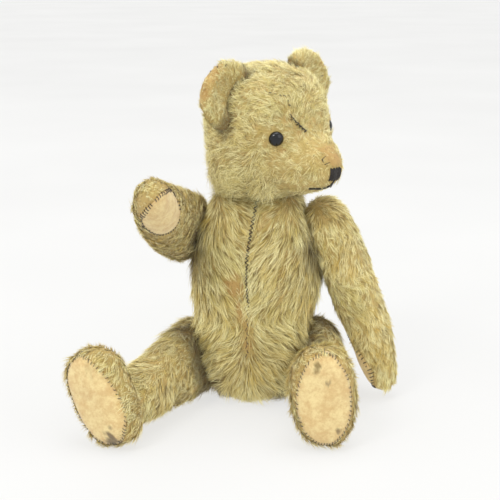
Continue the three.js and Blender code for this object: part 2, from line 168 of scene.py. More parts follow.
class NodeSheet:
    """The node tree of one material, with a Principled shader at its end."""

    def __init__(self, name: str, **constants: Any) -> None:
        """Makes the material.

        Args:
            name: The material's name.
            **constants: Values of the shader's own sockets, with _ for each space.
        """
        self.material = bpy.data.materials.new(name)
        self.material.use_nodes = True
        self.tree = self.material.node_tree
        self.tree.nodes.clear()
        self.shader = self.tree.nodes.new("ShaderNodeBsdfPrincipled")
        end = self.tree.nodes.new("ShaderNodeOutputMaterial")
        self.tree.links.new(self.shader.outputs["BSDF"], end.inputs["Surface"])
        for key, value in constants.items():
            self.shader.inputs[key.replace("_", " ")].default_value = value

    def node(self, kind: str, settings: dict[str, Any] | None = None, sockets: dict[Any, Any] | None = None,
             out: Any = 0) -> Wire:
        """Adds a node.

        Args:
            kind: The node's type.
            settings: The node's own properties.
            sockets: The values or wires of its inputs, by name or number.
            out: The output to hand back.

        Returns:
            That output as a wire.
        """
        made = self.tree.nodes.new(kind)
        for key, value in (settings or {}).items():
            setattr(made, key, value)
        for key, value in (sockets or {}).items():
            if isinstance(value, Wire):
                self.tree.links.new(value.socket, made.inputs[key])
            else:
                made.inputs[key].default_value = value
        return Wire(self, made.outputs[out])

    def place(self) -> Wire:
        """The point on the surface, in metres."""
        return self.node("ShaderNodeTexCoord", out="Object")

    def held(self, name: str) -> Wire:
        """The value that the mesh holds under a name."""
        return self.node("ShaderNodeAttribute", {"attribute_name": name}, out="Fac")

    def noise(self, size: float, detail: float = 3.0, rough: float = 0.55,
              stretch: Point = (1, 1, 1)) -> Wire:
        """Cloudy noise.

        Args:
            size: The width of its patches, in millimetres.
            detail: How many finer layers it has.
            rough: How strong they are.
            stretch: How much denser it is along each axis.

        Returns:
            A value round 0.5.
        """
        at = self.node("ShaderNodeMapping", None, {"Vector": self.place(), "Scale": stretch})
        sockets = {"Vector": at, "Scale": 1 / (size * MM), "Detail": detail, "Roughness": rough}
        return self.node("ShaderNodeTexNoise", None, sockets)

    def bands(self, size: float, axis: str, warp: float = 0.6) -> Wire:
        """Parallel threads, size millimetres apart along an axis."""
        settings = {"wave_type": "BANDS", "bands_direction": axis}
        sockets = {"Vector": self.place(), "Scale": BAND / (size * MM), "Distortion": warp}
        sockets |= {"Detail": 1.5, "Detail Scale": 0.6}
        return self.node("ShaderNodeTexWave", settings, sockets, out="Fac")

    def blend(self, share: Any, low: Any, high: Any) -> Wire:
        """One colour turning to another as share goes from 0 to 1."""
        return self.node("ShaderNodeMix", {"data_type": "RGBA"}, {0: share, 6: low, 7: high}, out=2)

    def finish(self, colour: Wire, relief: Wire | None = None, depth: float = 0.3,
               rough: Wire | None = None) -> bpy.types.Material:
        """Joins the shader up.

        Args:
            colour: The wire of its base colour.
            relief: The wire of a height, if the surface has relief.
            depth: The relief's depth in millimetres.
            rough: The wire of its roughness, if that varies.

        Returns:
            The finished material.
        """
        self.tree.links.new(colour.socket, self.shader.inputs["Base Color"])
        if rough is not None:
            self.tree.links.new(rough.socket, self.shader.inputs["Roughness"])
        if relief is not None:
            sockets = {"Height": relief, "Distance": depth * MM, "Strength": 0.9}
            bump = self.node("ShaderNodeBump", None, sockets)
            self.tree.links.new(bump.socket, self.shader.inputs["Normal"])
        return self.material


# ---- Finishes ---------------------------------------------------------------------------------------------
@dataclass(frozen=True)
class PileFinish:
    """Mohair strands: brown at the root, straw along their length, golden where grime has worked in, darker
    in the creases with grime and painted shade.
    """

    root: Colour = srgb(136, 110, 54)
    straw: Colour = srgb(216, 199, 120)
    pale: Colour = srgb(255, 250, 196)
    gold: Colour = srgb(214, 180, 88)
    soot: Colour = srgb(92, 70, 32)

    def make(self) -> bpy.types.Material:
        """The strands' material, which reads along, tone, gold and soot (grime and painted shade) from the
        mesh.
        """
        sheet = NodeSheet(
            "mohair_pile", Roughness=0.62, Specular_IOR_Level=0.35, Sheen_Weight=0.25, Sheen_Roughness=0.5)
        along, tone = sheet.held("along"), sheet.held("tone")
        clouds = sheet.noise(16.0, 4.0).step(0.38, 0.66)
        body = sheet.blend(sheet.held("gold") * (0.75 + 0.25 * clouds), self.straw, self.gold)
        # tone holds random tone and the painted shade between locks.
        light = sheet.blend(tone * (0.35 + 0.65 * along), body, self.pale)
        rooted = sheet.blend(along.step(-0.1, 0.62), self.root, light)
        # Grime and painted shade in the creases darken the strands, most towards their roots.
        return sheet.finish(sheet.blend(sheet.held("soot") * (1 - 0.35 * along), rooted, self.soot))


@dataclass(frozen=True)
class ClothFinish:
    """The woven ground of the mohair, straw under the pile and tan where it is bare, flecked with grime, and
    darker in the creases with grime and painted shade.
    """

    covered: Colour = srgb(192, 168, 102)
    flecked: Colour = srgb(206, 178, 112)
    bare: Colour = srgb(184, 146, 86)
    rubbed: Colour = srgb(208, 174, 110)
    grime_and_shade: Colour = srgb(104, 76, 40)

    def make(self) -> bpy.types.Material:
        """The cloth's material, which reads bare and soot (grime and painted shade) from the mesh."""
        sheet = NodeSheet("mohair_ground", Roughness=0.88, Specular_IOR_Level=0.2, Sheen_Weight=0.15)
        weave = sheet.bands(0.62, "X") * 0.5 + sheet.bands(0.62, "Z") * 0.5
        fleck = sheet.noise(0.9, 2.0)
        clouds = sheet.noise(9.0, 4.0).step(0.35, 0.7)
        rubbed = sheet.blend(clouds * 0.5 + weave * 0.5, self.bare, self.rubbed)
        covered = sheet.blend(clouds, self.covered, self.flecked)
        colour = sheet.blend(sheet.held("bare"), covered, rubbed)
        colour = sheet.blend(fleck.step(0.56, 0.74) * 0.7, colour, self.grime_and_shade)
        # Painted shade in the creases, mixed with grime, darkens the cloth.
        colour = sheet.blend(sheet.held("soot") * 0.8, colour, self.grime_and_shade)
        return sheet.finish(colour, weave * 0.8 + fleck * 0.6, 0.45)


@dataclass(frozen=True)
class FeltFinish:
    """Pressed felt, pale straw, with stains, dirt and rubbed edges."""

    clean: Colour = srgb(232, 210, 152)
    dull: Colour = srgb(208, 174, 118)
    stain: Colour = srgb(74, 56, 38)
    straw: Colour = srgb(190, 160, 96)
    moss: Colour = srgb(110, 92, 46)
    hairy: Colour = srgb(186, 150, 98)
    edge: Colour = srgb(206, 172, 112)

    def make(self) -> bpy.types.Material:
        """The felt's material, which reads edge, stain and moss from the mesh."""
        sheet = NodeSheet(
            "felt_pad", Roughness=0.92, Specular_IOR_Level=0.15, Sheen_Weight=0.3, Sheen_Roughness=0.6)
        hairs = sheet.noise(0.7, 5.0, 0.7)
        clouds = sheet.noise(6.0, 6.0, 0.72).step(0.36, 0.66)
        flecks = sheet.noise(1.7, 4.0, 0.7).step(0.5, 0.72)
        colour = sheet.blend(clouds * 0.85, self.clean, self.dull)
        colour = sheet.blend(flecks * 0.35, colour, self.straw)
        colour = sheet.blend(hairs.step(0.5, 0.75) * 0.4, colour, self.hairy)
        colour = sheet.blend(sheet.held("edge") * (0.1 + 0.3 * clouds), colour, self.edge)
        colour = sheet.blend(sheet.held("moss") * (0.45 + 0.55 * hairs), colour, self.moss)
        colour = sheet.blend(sheet.held("stain") * (0.6 + 0.4 * hairs), colour, self.stain)
        return sheet.finish(colour, hairs * 0.8 + clouds * 0.5, 0.3)


@dataclass(frozen=True)
class ThreadFinish:
    """Waxed dark thread, twisted, dusty on its crowns."""

    name: str = "dark_thread"
    dark: Colour = srgb(30, 24, 20)
    dusty: Colour = srgb(58, 49, 42)

    def make(self) -> bpy.types.Material:
        """The thread's material."""
        sheet = NodeSheet(self.name, Roughness=0.6, Specular_IOR_Level=0.4, Sheen_Weight=0.2)
        twist = sheet.bands(0.45, "DIAGONAL", 1.5)
        dust = sheet.noise(1.6, 3.0).step(0.45, 0.75)
        return sheet.finish(sheet.blend(dust * 0.7 + twist * 0.15, self.dark, self.dusty), twist, 0.15)


@dataclass(frozen=True)
class EyeFinish:
    """Black glass, glossy, with a little dust and fine scratches."""

    black: Colour = srgb(3, 4, 8)
    haze: Colour = srgb(12, 15, 22)

    def make(self) -> bpy.types.Material:
        """The eyes' material."""
        sheet = NodeSheet("eye_glass", Roughness=0.08, IOR=1.5)
        haze = sheet.noise(1.2, 4.0).step(0.45, 0.8)
        scratches = sheet.noise(0.5, 2.0, 0.5, (1.0, 6.0, 1.0)).step(0.6, 0.75)
        colour = sheet.blend(haze * 0.8, self.black, self.haze)
        return sheet.finish(colour, haze, 0.03, 0.05 + 0.06 * haze + 0.06 * scratches)


@dataclass(frozen=True)
class HiddenFinish:
    """What lies inside the bear: one matt or metal stuff with its own grain."""

    name: str
    dark: Colour
    light: Colour
    size: float
    stretch: Point
    rough: float
    metal: float = 0.0
    depth: float = 0.3

    def make(self) -> bpy.types.Material:
        """The stuff's material."""
        sheet = NodeSheet(self.name, Roughness=self.rough, Metallic=self.metal)
        grain = sheet.noise(self.size, 5.0, 0.65, self.stretch)
        clouds = sheet.noise(self.size * 6, 3.0)
        colour = sheet.blend(grain.step(0.35, 0.68) * 0.75 + clouds * 0.25, self.dark, self.light)
        return sheet.finish(colour, grain, self.depth, self.rough - 0.12 + 0.24 * clouds)


@dataclass(frozen=True)
class FloorFinish:
    """A plain pale studio floor, with a little light of its own."""

    pale: Colour = srgb(250, 250, 249)
    matt: Colour = srgb(108, 108, 107)
    glow: float = 0.71

    def make(self) -> bpy.types.Material:
        """The floor's material."""
        sheet = NodeSheet("studio_floor", Roughness=0.9, Specular_IOR_Level=0.1, Emission_Color=self.pale,
                          Emission_Strength=self.glow)
        return sheet.finish(sheet.blend(sheet.noise(400.0, 2.0) * 0.1, self.matt, self.pale))


class Wardrobe:
    """Every material of the scene, each made once."""

    def __init__(self) -> None:
        """Makes the materials."""
        self.pile = PileFinish().make()
        self.cloth = ClothFinish().make()
        self.felt = FeltFinish().make()
        self.thread = ThreadFinish().make()
        self.brown_thread = ThreadFinish("brown_thread", srgb(58, 42, 30), srgb(112, 92, 70)).make()
        self.eye = EyeFinish().make()
        self.floor = FloorFinish().make()
        hidden = {
            "stuffing": HiddenFinish(
                "wood_wool", srgb(150, 118, 66), srgb(226, 200, 142), 1.4, (1, 1, 4), rough=0.9, depth=0.8),
            "disc": HiddenFinish(
                "hardboard", srgb(96, 66, 40), srgb(156, 120, 80), 0.8, (1, 1, 1), rough=0.86),
            "washer": HiddenFinish(
                "dull_steel", srgb(96, 92, 86), srgb(176, 174, 168), 0.9, (1, 3, 1), rough=0.42, metal=1.0,
                depth=0.05),
        }
        self.hidden = {key: stuff.make() for key, stuff in hidden.items()}
        self.hidden["pin"] = self.hidden["washer"]

    def dress_hidden(self) -> None:
        """Gives the CAD nodes that stay inside the bear their stuff."""
        for name, node in frame["nodes"].items():
            for word, material in self.hidden.items():
                if word in name:
                    node.data.materials.clear()
                    node.data.materials.append(material)


# ---- Fields -----------------------------------------------------------------------------------------------
class Grain:
    """A smooth random field over space, a sum of plane waves that is the same on every run."""

    def __init__(self, size: float, seed: int, waves: int = 18) -> None:
        """Draws the waves.

        Args:
            size: Roughly the width of a patch, in millimetres.
            seed: The seed of the draw.
            waves: How many waves are summed.
        """
        draw = np.random.default_rng(seed)
        ways = unit(draw.normal(size=(waves, 3)))
        self.turns = ways * draw.uniform(0.6, 1.5, (waves, 1)) * math.tau / (2 * size)
        self.phase = draw.uniform(0, math.tau, waves)

    def __call__(self, points: Array) -> Array:
        """The field at some points, from -1 to 1."""
        total = np.cos(points @ self.turns.T + self.phase).sum(-1)
        return np.clip(total / math.sqrt(2 * len(self.phase)), -1, 1)


def swirl(points: Array, size: float, seed: int) -> Array:
    """A direction that wanders over space, one field for each axis."""
    return np.stack([Grain(size, seed + axis)(points) for axis in range(3)], 1)


@dataclass(frozen=True)
class Spot:
    """A round place on the bear: its centre and radius in millimetres, and how strong it is."""

    at: Point
    radius: float
    strength: float = 1.0


def spotted(points: Array, spots: Sequence[Spot]) -> Array:
    """How strongly some points lie in any of some spots with ragged edges, from 0 to 1."""
    found = np.zeros(len(points))
    wander = Grain(3.5, 77)(points) * 0.5 + Grain(1.4, 78)(points) * 0.3
    for spot in spots:
        reach = np.linalg.norm(points - np.array(spot.at), axis=1) / spot.radius + wander
        found = np.maximum(found, spot.strength * smooth((1.2 - reach) / 0.6))
    return found


def nearest(points: Array, among: Array) -> list[tuple[Vector, int, float]]:
    """For each of some points the nearest of some others: its place, its number and how far off it is."""
    tree = KDTree(len(among))
    for index, place in enumerate(among):
        tree.insert(place, index)
    tree.balance()
    return [tree.find(point) for point in points]


def distance(points: Array, node: str) -> Array:
    """How far some points are from the nearest corner of a CAD node, in millimetres."""
    corners = np.unique(np.round(packed(node), 2), axis=0)
    return np.array([far for _, _, far in nearest(points, corners)])


# ---- Meshes -----------------------------------------------------------------------------------------------
def coords(mesh: bpy.types.Mesh) -> Array:
    """A mesh's vertices in millimetres."""
    flat = np.zeros(len(mesh.vertices) * 3, np.float32)
    mesh.vertices.foreach_get("co", flat)
    return flat.reshape(-1, 3).astype(float) / MM


def packed(node: str) -> Array:
    """A CAD node's vertices in millimetres."""
    return coords(frame["nodes"][node].data)


def centre(node: str) -> Array:
    """The middle of a CAD node's vertices, in millimetres."""
    return packed(node).mean(0)


def put(mesh: bpy.types.Mesh, points: Array) -> None:
    """Moves a mesh's vertices to points in millimetres."""
    mesh.vertices.foreach_set("co", (points * MM).astype(np.float32).ravel())
    mesh.update()


def hold(mesh: bpy.types.Mesh, name: str, values: Array) -> None:
    """Keeps one value for each vertex of a mesh under a name."""
    layer = mesh.attributes.get(name) or mesh.attributes.new(name, "FLOAT", "POINT")
    layer.data.foreach_set("value", np.asarray(values, np.float32))


def show(name: str, mesh: bpy.types.Mesh) -> bpy.types.Object:
    """A new object in the scene that shows a mesh."""
    made = bpy.data.objects.new(name, mesh)
    bpy.context.scene.collection.objects.link(made)
    return made


def evaluated(piece: bpy.types.Object) -> bpy.types.Object:
    """A piece as its modifiers leave it."""
    return piece.evaluated_get(bpy.context.evaluated_depsgraph_get())


def settle(piece: bpy.types.Object) -> None:
    """Applies every modifier of a piece to its mesh."""
    mesh = bpy.data.meshes.new_from_object(evaluated(piece))
    mesh.name = piece.name
    piece.modifiers.clear()
    piece.data = mesh


def model(name: str, shaped: bmesh.types.BMesh) -> bpy.types.Object:
    """A bmesh as a new object, and the bmesh freed."""
    mesh = bpy.data.meshes.new(name)
    shaped.to_mesh(mesh)
    shaped.free()
    return show(name, mesh)


def relax(shaped: bmesh.types.BMesh, verts: Iterable[bmesh.types.BMVert]) -> None:
    """Moves some vertices half way to the middle of their neighbours."""
    bmesh.ops.smooth_vert(shaped, verts=verts, factor=0.5, use_axis_x=True, use_axis_y=True, use_axis_z=True)


def biggest_island(shaped: bmesh.types.BMesh) -> None:
    """Deletes every separate shell of a bmesh but the one with the most vertices."""
    unseen = set(shaped.verts)
    islands = []
    while unseen:
        island, front = set(), [unseen.pop()]
        while front:
            vert = front.pop()
            island.add(vert)
            for edge in vert.link_edges:
                other = edge.other_vert(vert)
                if other in unseen:
                    unseen.remove(other)
                    front.append(other)
        islands.append(island)
    islands.sort(key=len)
    doomed = [vert for island in islands[:-1] for vert in island]
    bmesh.ops.delete(shaped, geom=doomed, context="VERTS")


class Surface:
    """A finished mesh as numbers: to strew points over, to drop points on to, and to read directions from."""

    def __init__(self, piece: bpy.types.Object) -> None:
        """Reads the piece's mesh."""
        mesh = piece.data
        mesh.calc_loop_triangles()
        corners = np.zeros(len(mesh.loop_triangles) * 3, np.int32)
        mesh.loop_triangles.foreach_get("vertices", corners)
        normals = np.zeros(len(mesh.vertices) * 3, np.float32)
        mesh.vertices.foreach_get("normal", normals)
        self.corners = corners.reshape(-1, 3)
        self.points = coords(mesh)
        self.normals = normals.reshape(-1, 3).astype(float)
        self.tree = BVHTree.FromPolygons([Vector(p) for p in self.points], self.corners.tolist())
        first, second, third = (self.points[self.corners[:, i]] for i in range(3))
        self.areas = np.linalg.norm(np.cross(second - first, third - first), axis=1) / 2

    def strew(self, count: int, seed: int) -> tuple[Array, Array]:
        """Points strewn evenly over the surface, with the normals there."""
        draw = np.random.default_rng(seed)
        which = draw.choice(len(self.areas), count, p=self.areas / self.areas.sum())
        a, b = draw.random(count), draw.random(count)
        flip = a + b > 1
        a[flip], b[flip] = 1 - a[flip], 1 - b[flip]
        shares = np.stack([1 - a - b, a, b], 1)[:, :, None]
        corners = self.corners[which]
        return (self.points[corners] * shares).sum(1), unit((self.normals[corners] * shares).sum(1))

    def onto(self, point: Sequence[float], lift: float = 0.0) -> Vector:
        """The nearest point of the surface, lifted off it by some millimetres."""
        place, normal, _, _ = self.tree.find_nearest(Vector(point))
        return place + normal * lift

    def along_ray(self, start: Vector, way: Vector, reach: float = 8.0) -> tuple[Vector, Vector]:
        """Where a ray meets the surface and the normal there, or if it misses the place nearest its reach."""
        place, normal, _, _ = self.tree.ray_cast(start, way)
        if place is None:
            place, normal, _, _ = self.tree.find_nearest(start + way * reach)
        return place, normal


# ---- Cloth over stuffing ----------------------------------------------------------------------------------
@dataclass(frozen=True)
class Joint:
    """One disc joint: the middle of its discs, in millimetres, its axis, and the two bodies it joins."""

    at: Array
    axis: Array
    bodies: tuple[str, str]

    @staticmethod
    def all() -> list["Joint"]:
        """The frame's joints."""
        return [
            Joint(np.array(j["pos_m"]) / MM, unit(np.array(j["axis"], float)), (j["parent"], j["child"]))
            for j in frame["joints"]
        ]


@dataclass
class Skin:
    """The sewn mohair cloth of one stuffed part, swollen by its filling but held flat at its joints."""

    title: str
    body: str
    covers: tuple[str, ...]
    within: tuple[str, ...]
    voxel: float = 2.6
    swell: float = 1.8
    pressure: float = 4.0
    smoothing: int = 5
    fill: float = 0.9
    steps: int = 20
    pressed: float = 26.0

    def _shell(self) -> bpy.types.Object:
        """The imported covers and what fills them, remeshed as one closed shell."""
        shaped = bmesh.new()
        for name in (*self.covers, *self.within):
            shaped.from_mesh(frame["nodes"][name].data)
        bmesh.ops.remove_doubles(shaped, verts=shaped.verts, dist=1e-6)
        piece = model(self.title, shaped)
        remesh = piece.modifiers.new("Remesh", "REMESH")
        remesh.mode = "VOXEL"
        remesh.voxel_size = self.voxel * MM
        settle(piece)
        shaped = bmesh.new()
        shaped.from_mesh(piece.data)
        biggest_island(shaped)
        for _ in range(self.smoothing):
            relax(shaped, shaped.verts)
        bmesh.ops.recalc_face_normals(shaped, faces=shaped.faces)
        shaped.to_mesh(piece.data)
        shaped.free()
        return piece

    def _free(self, points: Array) -> Array:
        """How free each point is to swell: 0 where a joint's discs press on the cloth."""
        share = np.ones(len(points))
        for joint in Joint.all():
            if self.body not in joint.bodies:
                continue
            offset = points - joint.at
            height = np.abs(offset @ joint.axis)
            beside = np.linalg.norm(offset - (offset @ joint.axis)[:, None] * joint.axis, axis=1)
            free = np.maximum(smooth((height - 1.0) / 8), smooth((beside - self.pressed) / 10))
            share = np.minimum(share, free)
        return share

    def _swollen(self, piece: bpy.types.Object) -> Array:
        """Where some steps of cloth under pressure take the points."""
        cloth = piece.modifiers.new("Cloth", "CLOTH")
        cloth.settings.use_pressure = True
        cloth.settings.uniform_pressure_force = self.pressure
        cloth.settings.effector_weights.gravity = 0
        cloth.point_cache.frame_start, cloth.point_cache.frame_end = 1, self.steps
        for step in range(1, self.steps + 1):
            bpy.context.scene.frame_set(step)
        points = coords(evaluated(piece).data)
        piece.modifiers.clear()
        bpy.context.scene.frame_set(1)
        return points

    def make(self, cloth: bpy.types.Material) -> bpy.types.Object:
        """Makes the skin, swells it, and subdivides it once.

        Args:
            cloth: The woven ground's material.

        Returns:
            The finished piece, riding its body.
        """
        piece = self._shell()
        rest = coords(piece.data)
        free = self._free(rest)
        move = self._swollen(piece) - rest
        far = np.linalg.norm(move, axis=1, keepdims=True)
        move *= np.minimum(1, self.swell / np.maximum(far, 1e-6))
        lumps = Grain(15, 5)(rest) * 0.5 + Grain(7, 6)(rest) * 0.25
        points = rest + (move + Surface(piece).normals * lumps[:, None]) * free[:, None]
        points[:, 2] = np.maximum(points[:, 2], CLOTH_LOW)
        put(piece.data, points)
        subdivide = piece.modifiers.new("Subdivision", "SUBSURF")
        subdivide.levels = subdivide.render_levels = 1
        settle(piece)
        piece.data.shade_smooth()
        dress(piece, self.body, cloth, self.covers)
        return piece


def dress(piece: bpy.types.Object, body: str, material: bpy.types.Material,
          stands_for: Iterable[str] = ()) -> None:
    """Gives a finished piece its material and body.

    Args:
        piece: The piece.
        body: The CAD body that it moves with.
        material: Its material.
        stands_for: The CAD nodes that it replaces.
    """
    piece.data.materials.clear()
    piece.data.materials.append(material)
    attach(piece, body)
    if stands_for:
        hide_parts(*stands_for)
    log.info("%s: %d faces, rides on %s", piece.name, len(piece.data.polygons), body)


# ---- Mohair -----------------------------------------------------------------------------------------------
@dataclass
class Growth:
    """What grows at some points: how likely a strand is, how long, which way, and its colour."""

    chance: Array
    length: Array
    way: Array
    gold: Array
    # Grime and painted shade in creases, from 0 to 1.
    soot: Array


@dataclass(frozen=True)
class Pile:
    """The pile of one part: thousands of tapering strands gathered in locks."""

    title: str
    strands: int
    length: float
    width: float = 0.42
    lift: float = 0.3
    lock: float = 2.4
    gather: float = 0.55
    curl: float = 0.9
    stray: float = 0.35
    shade: float = 0.44
    rows: int = 3
    seed: int = 1

    def _strand(self) -> tuple[Array, Array, list[list[int]]]:
        """One strand, a strip that ends in a point, as places across and along it and its faces."""
        shaped = bmesh.new()
        bmesh.ops.create_grid(shaped, x_segments=1, y_segments=self.rows, size=0.5)
        top = [vert for vert in shaped.verts if vert.co.y > 0.49]
        bmesh.ops.pointmerge(shaped, verts=top, merge_co=(0, 0.5, 0))
        shaped.verts.index_update()
        places = np.array([vert.co for vert in shaped.verts])
        faces = [[vert.index for vert in face.verts] for face in shaped.faces]
        shaped.free()
        return places[:, 0] * 2, places[:, 1] + 0.5, faces

    def _roots(self, surface: Surface, grow: Callable[[Array, Array], Growth]) -> tuple[Array, Array, Growth]:
        """The strands' roots, their normals and what grows there."""
        points, normals = surface.strew(self.strands * 2, self.seed)
        grown = grow(points, normals)
        kept = np.random.default_rng(self.seed + 1).random(len(points)) < grown.chance
        chosen = np.flatnonzero(kept)[: self.strands]
        log.info("%s: %d of %d roots kept", self.title, len(chosen), len(points))
        picked = {key: value[chosen] for key, value in vars(grown).items()}
        return points[chosen], normals[chosen], Growth(**picked)

    def _locks(self, surface: Surface, points: Array) -> tuple[Array, Array]:
        """The middles of the locks, and each strand's lock."""
        count = max(8, int(surface.areas.sum() / self.lock**2))
        middles, _ = surface.strew(count, self.seed + 2)
        return middles, np.array([index for _, index, _ in nearest(points, middles)])

    def make(self, surface: Surface, grow: Callable[[Array, Array], Growth], body: str,
             finish: bpy.types.Material) -> None:
        """Grows the pile on a surface as a piece of its own.

        Args:
            surface: The cloth it stands on.
            grow: Says what grows at some points with some normals.
            body: The CAD body that it moves with.
            finish: The strands' material.
        """
        draw = np.random.default_rng(self.seed + 3)
        roots, normals, grown = self._roots(surface, grow)
        middles, lock = self._locks(surface, roots)
        count, locks = len(roots), len(middles)
        lean = draw.normal(0, self.stray, locks)[lock] + draw.normal(0, self.stray * 0.45, count)
        lean += Grain(11, self.seed + 9)(roots) * self.stray * 1.6
        flat = unit(grown.way - (grown.way * normals).sum(1)[:, None] * normals)
        across = np.cross(normals, flat)
        way = flat * np.cos(lean)[:, None] + across * np.sin(lean)[:, None]
        across = np.cross(normals, way)
        length = self.length * grown.length * draw.uniform(0.7, 1.15, count)
        length = length * draw.uniform(0.8, 1.2, locks)[lock]
        rise = self.lift * draw.uniform(0.6, 1.4, locks)[lock] * draw.uniform(0.7, 1.3, count)
        swing = self.curl * draw.normal(0, 1, locks)[lock]
        turn = draw.uniform(0, math.tau, locks)[lock]
        pull = (middles[lock] - roots) * self.gather
        pull -= (pull * normals).sum(1)[:, None] * normals
        twist = draw.normal(0, 0.5, count)
        blade = across * np.cos(twist)[:, None] + normals * np.sin(twist)[:, None]
        wide = self.width * draw.uniform(0.7, 1.25, count)
        sides, steps, faces = self._strand()
        verts = np.zeros((count, len(sides), 3))
        for index, (side, step) in enumerate(zip(sides, steps)):
            reach = (length * step)[:, None]
            spine = roots + way * reach + normals * (length * rise * (step - 0.45 * step**2) - 0.3)[:, None]
            sway = swing * (np.sin(turn + 3.2 * step) - np.sin(turn))
            spine += across * (sway * length / self.length)[:, None]
            spine += pull * step**1.5
            verts[:, index] = spine + blade * (side * wide * (1 - 0.75 * step))[:, None] / 2
        verts[:, :, 2] = np.maximum(verts[:, :, 2], PILE_LOW)
        tone = draw.normal(self.shade, 0.3, locks)[lock] + draw.normal(0, 0.22, count)
        # Painted shade between locks: strands far from their lock's middle are made darker and those near it
        # lighter.
        beside = np.linalg.norm(middles[lock] - roots, axis=1) / self.lock
        tone = np.clip(tone + 0.3 - 0.5 * smooth((beside - 0.2) / 0.8), 0, 1)
        piece = show(self.title, self._mesh(verts, faces))
        hold(piece.data, "along", np.tile(steps, count))
        for name, values in (("tone", tone), ("gold", grown.gold), ("soot", grown.soot)):
            hold(piece.data, name, np.repeat(values, len(sides)))
        self._unwrap(piece.data, sides, steps, faces, count)
        dress(piece, body, finish)

    def _mesh(self, verts: Array, faces: list[list[int]]) -> bpy.types.Mesh:
        """Copies of the one strand's faces over every strand's vertices, as one mesh."""
        count, each = verts.shape[:2]
        strand = np.arange(count)[:, None]
        mesh = bpy.data.meshes.new(self.title)
        corners = np.array([index for face in faces for index in face])
        sizes = np.array([len(face) for face in faces])
        starts = np.concatenate([[0], np.cumsum(sizes)[:-1]])
        mesh.vertices.add(count * each)
        mesh.vertices.foreach_set("co", (verts * MM).astype(np.float32).ravel())
        mesh.loops.add(count * len(corners))
        mesh.loops.foreach_set("vertex_index", (corners[None] + strand * each).astype(np.int32).ravel())
        mesh.polygons.add(count * len(faces))
        starts = starts[None] + strand * len(corners)
        mesh.polygons.foreach_set("loop_start", starts.astype(np.int32).ravel())
        mesh.update(calc_edges=True)
        mesh.shade_smooth()
        return mesh

    def _unwrap(self, mesh: bpy.types.Mesh, sides: Array, steps: Array, faces: list[list[int]],
                count: int) -> None:
        """Lays every strand in its own cell of a map, for the baked copy of the colours."""
        layer = mesh.uv_layers.new(name="OFBake")
        corners = np.array([index for face in faces for index in face])
        row = math.ceil(math.sqrt(count))
        cell = np.arange(count)
        u = (cell % row)[:, None] + 0.5 + sides[corners][None] * 0.36
        v = (cell // row)[:, None] + 0.14 + steps[corners][None] * 0.72
        layer.data.foreach_set("uv", (np.stack([u, v], 2) / row).astype(np.float32).ravel())


# ---- Thread -----------------------------------------------------------------------------------------------
class Sewing:
    """Threads sewn on to one part, gathered as one piece."""

    def __init__(self, title: str, thick: float) -> None:
        """Starts the piece.

        Args:
            title: Its name.
            thick: The thread's diameter in millimetres.
        """
        self.title = title
        self.curve = bpy.data.curves.new(title, "CURVE")
        self.curve.dimensions = "3D"
        self.curve.bevel_depth = thick / 2 * MM
        self.curve.bevel_resolution = 1
        self.curve.resolution_u = 3
        self.curve.use_fill_caps = True

    def run(self, points: Sequence[Vector]) -> None:
        """Adds one thread through some points, in millimetres."""
        spline = self.curve.splines.new("NURBS")
        spline.points.add(len(points) - 1)
        for point, place in zip(spline.points, points):
            point.co = (*(Vector(place) * MM), 1.0)
        spline.order_u = min(3, len(points))
        spline.use_endpoint_u = True

    def stitch(self, surface: Surface, start: Vector, end: Vector, lift: float) -> None:
        """Adds one short stitch that dips into the cloth at both its ends."""
        shares = ((0.0, -0.5), (0.12, lift * 0.8), (0.5, lift), (0.88, lift * 0.8), (1.0, -0.5))
        self.run([surface.onto(start.lerp(end, share), height) for share, height in shares])

    def finish(self, body: str, material: bpy.types.Material, stands_for: Iterable[str] = ()) -> None:
        """Makes the threads one mesh and dresses it."""
        piece = show(self.title, self.curve)
        mesh = bpy.data.meshes.new_from_object(evaluated(piece))
        bpy.data.objects.remove(piece)
        piece = show(self.title, mesh)
        piece.data.shade_smooth()
        dress(piece, body, material, stands_for)


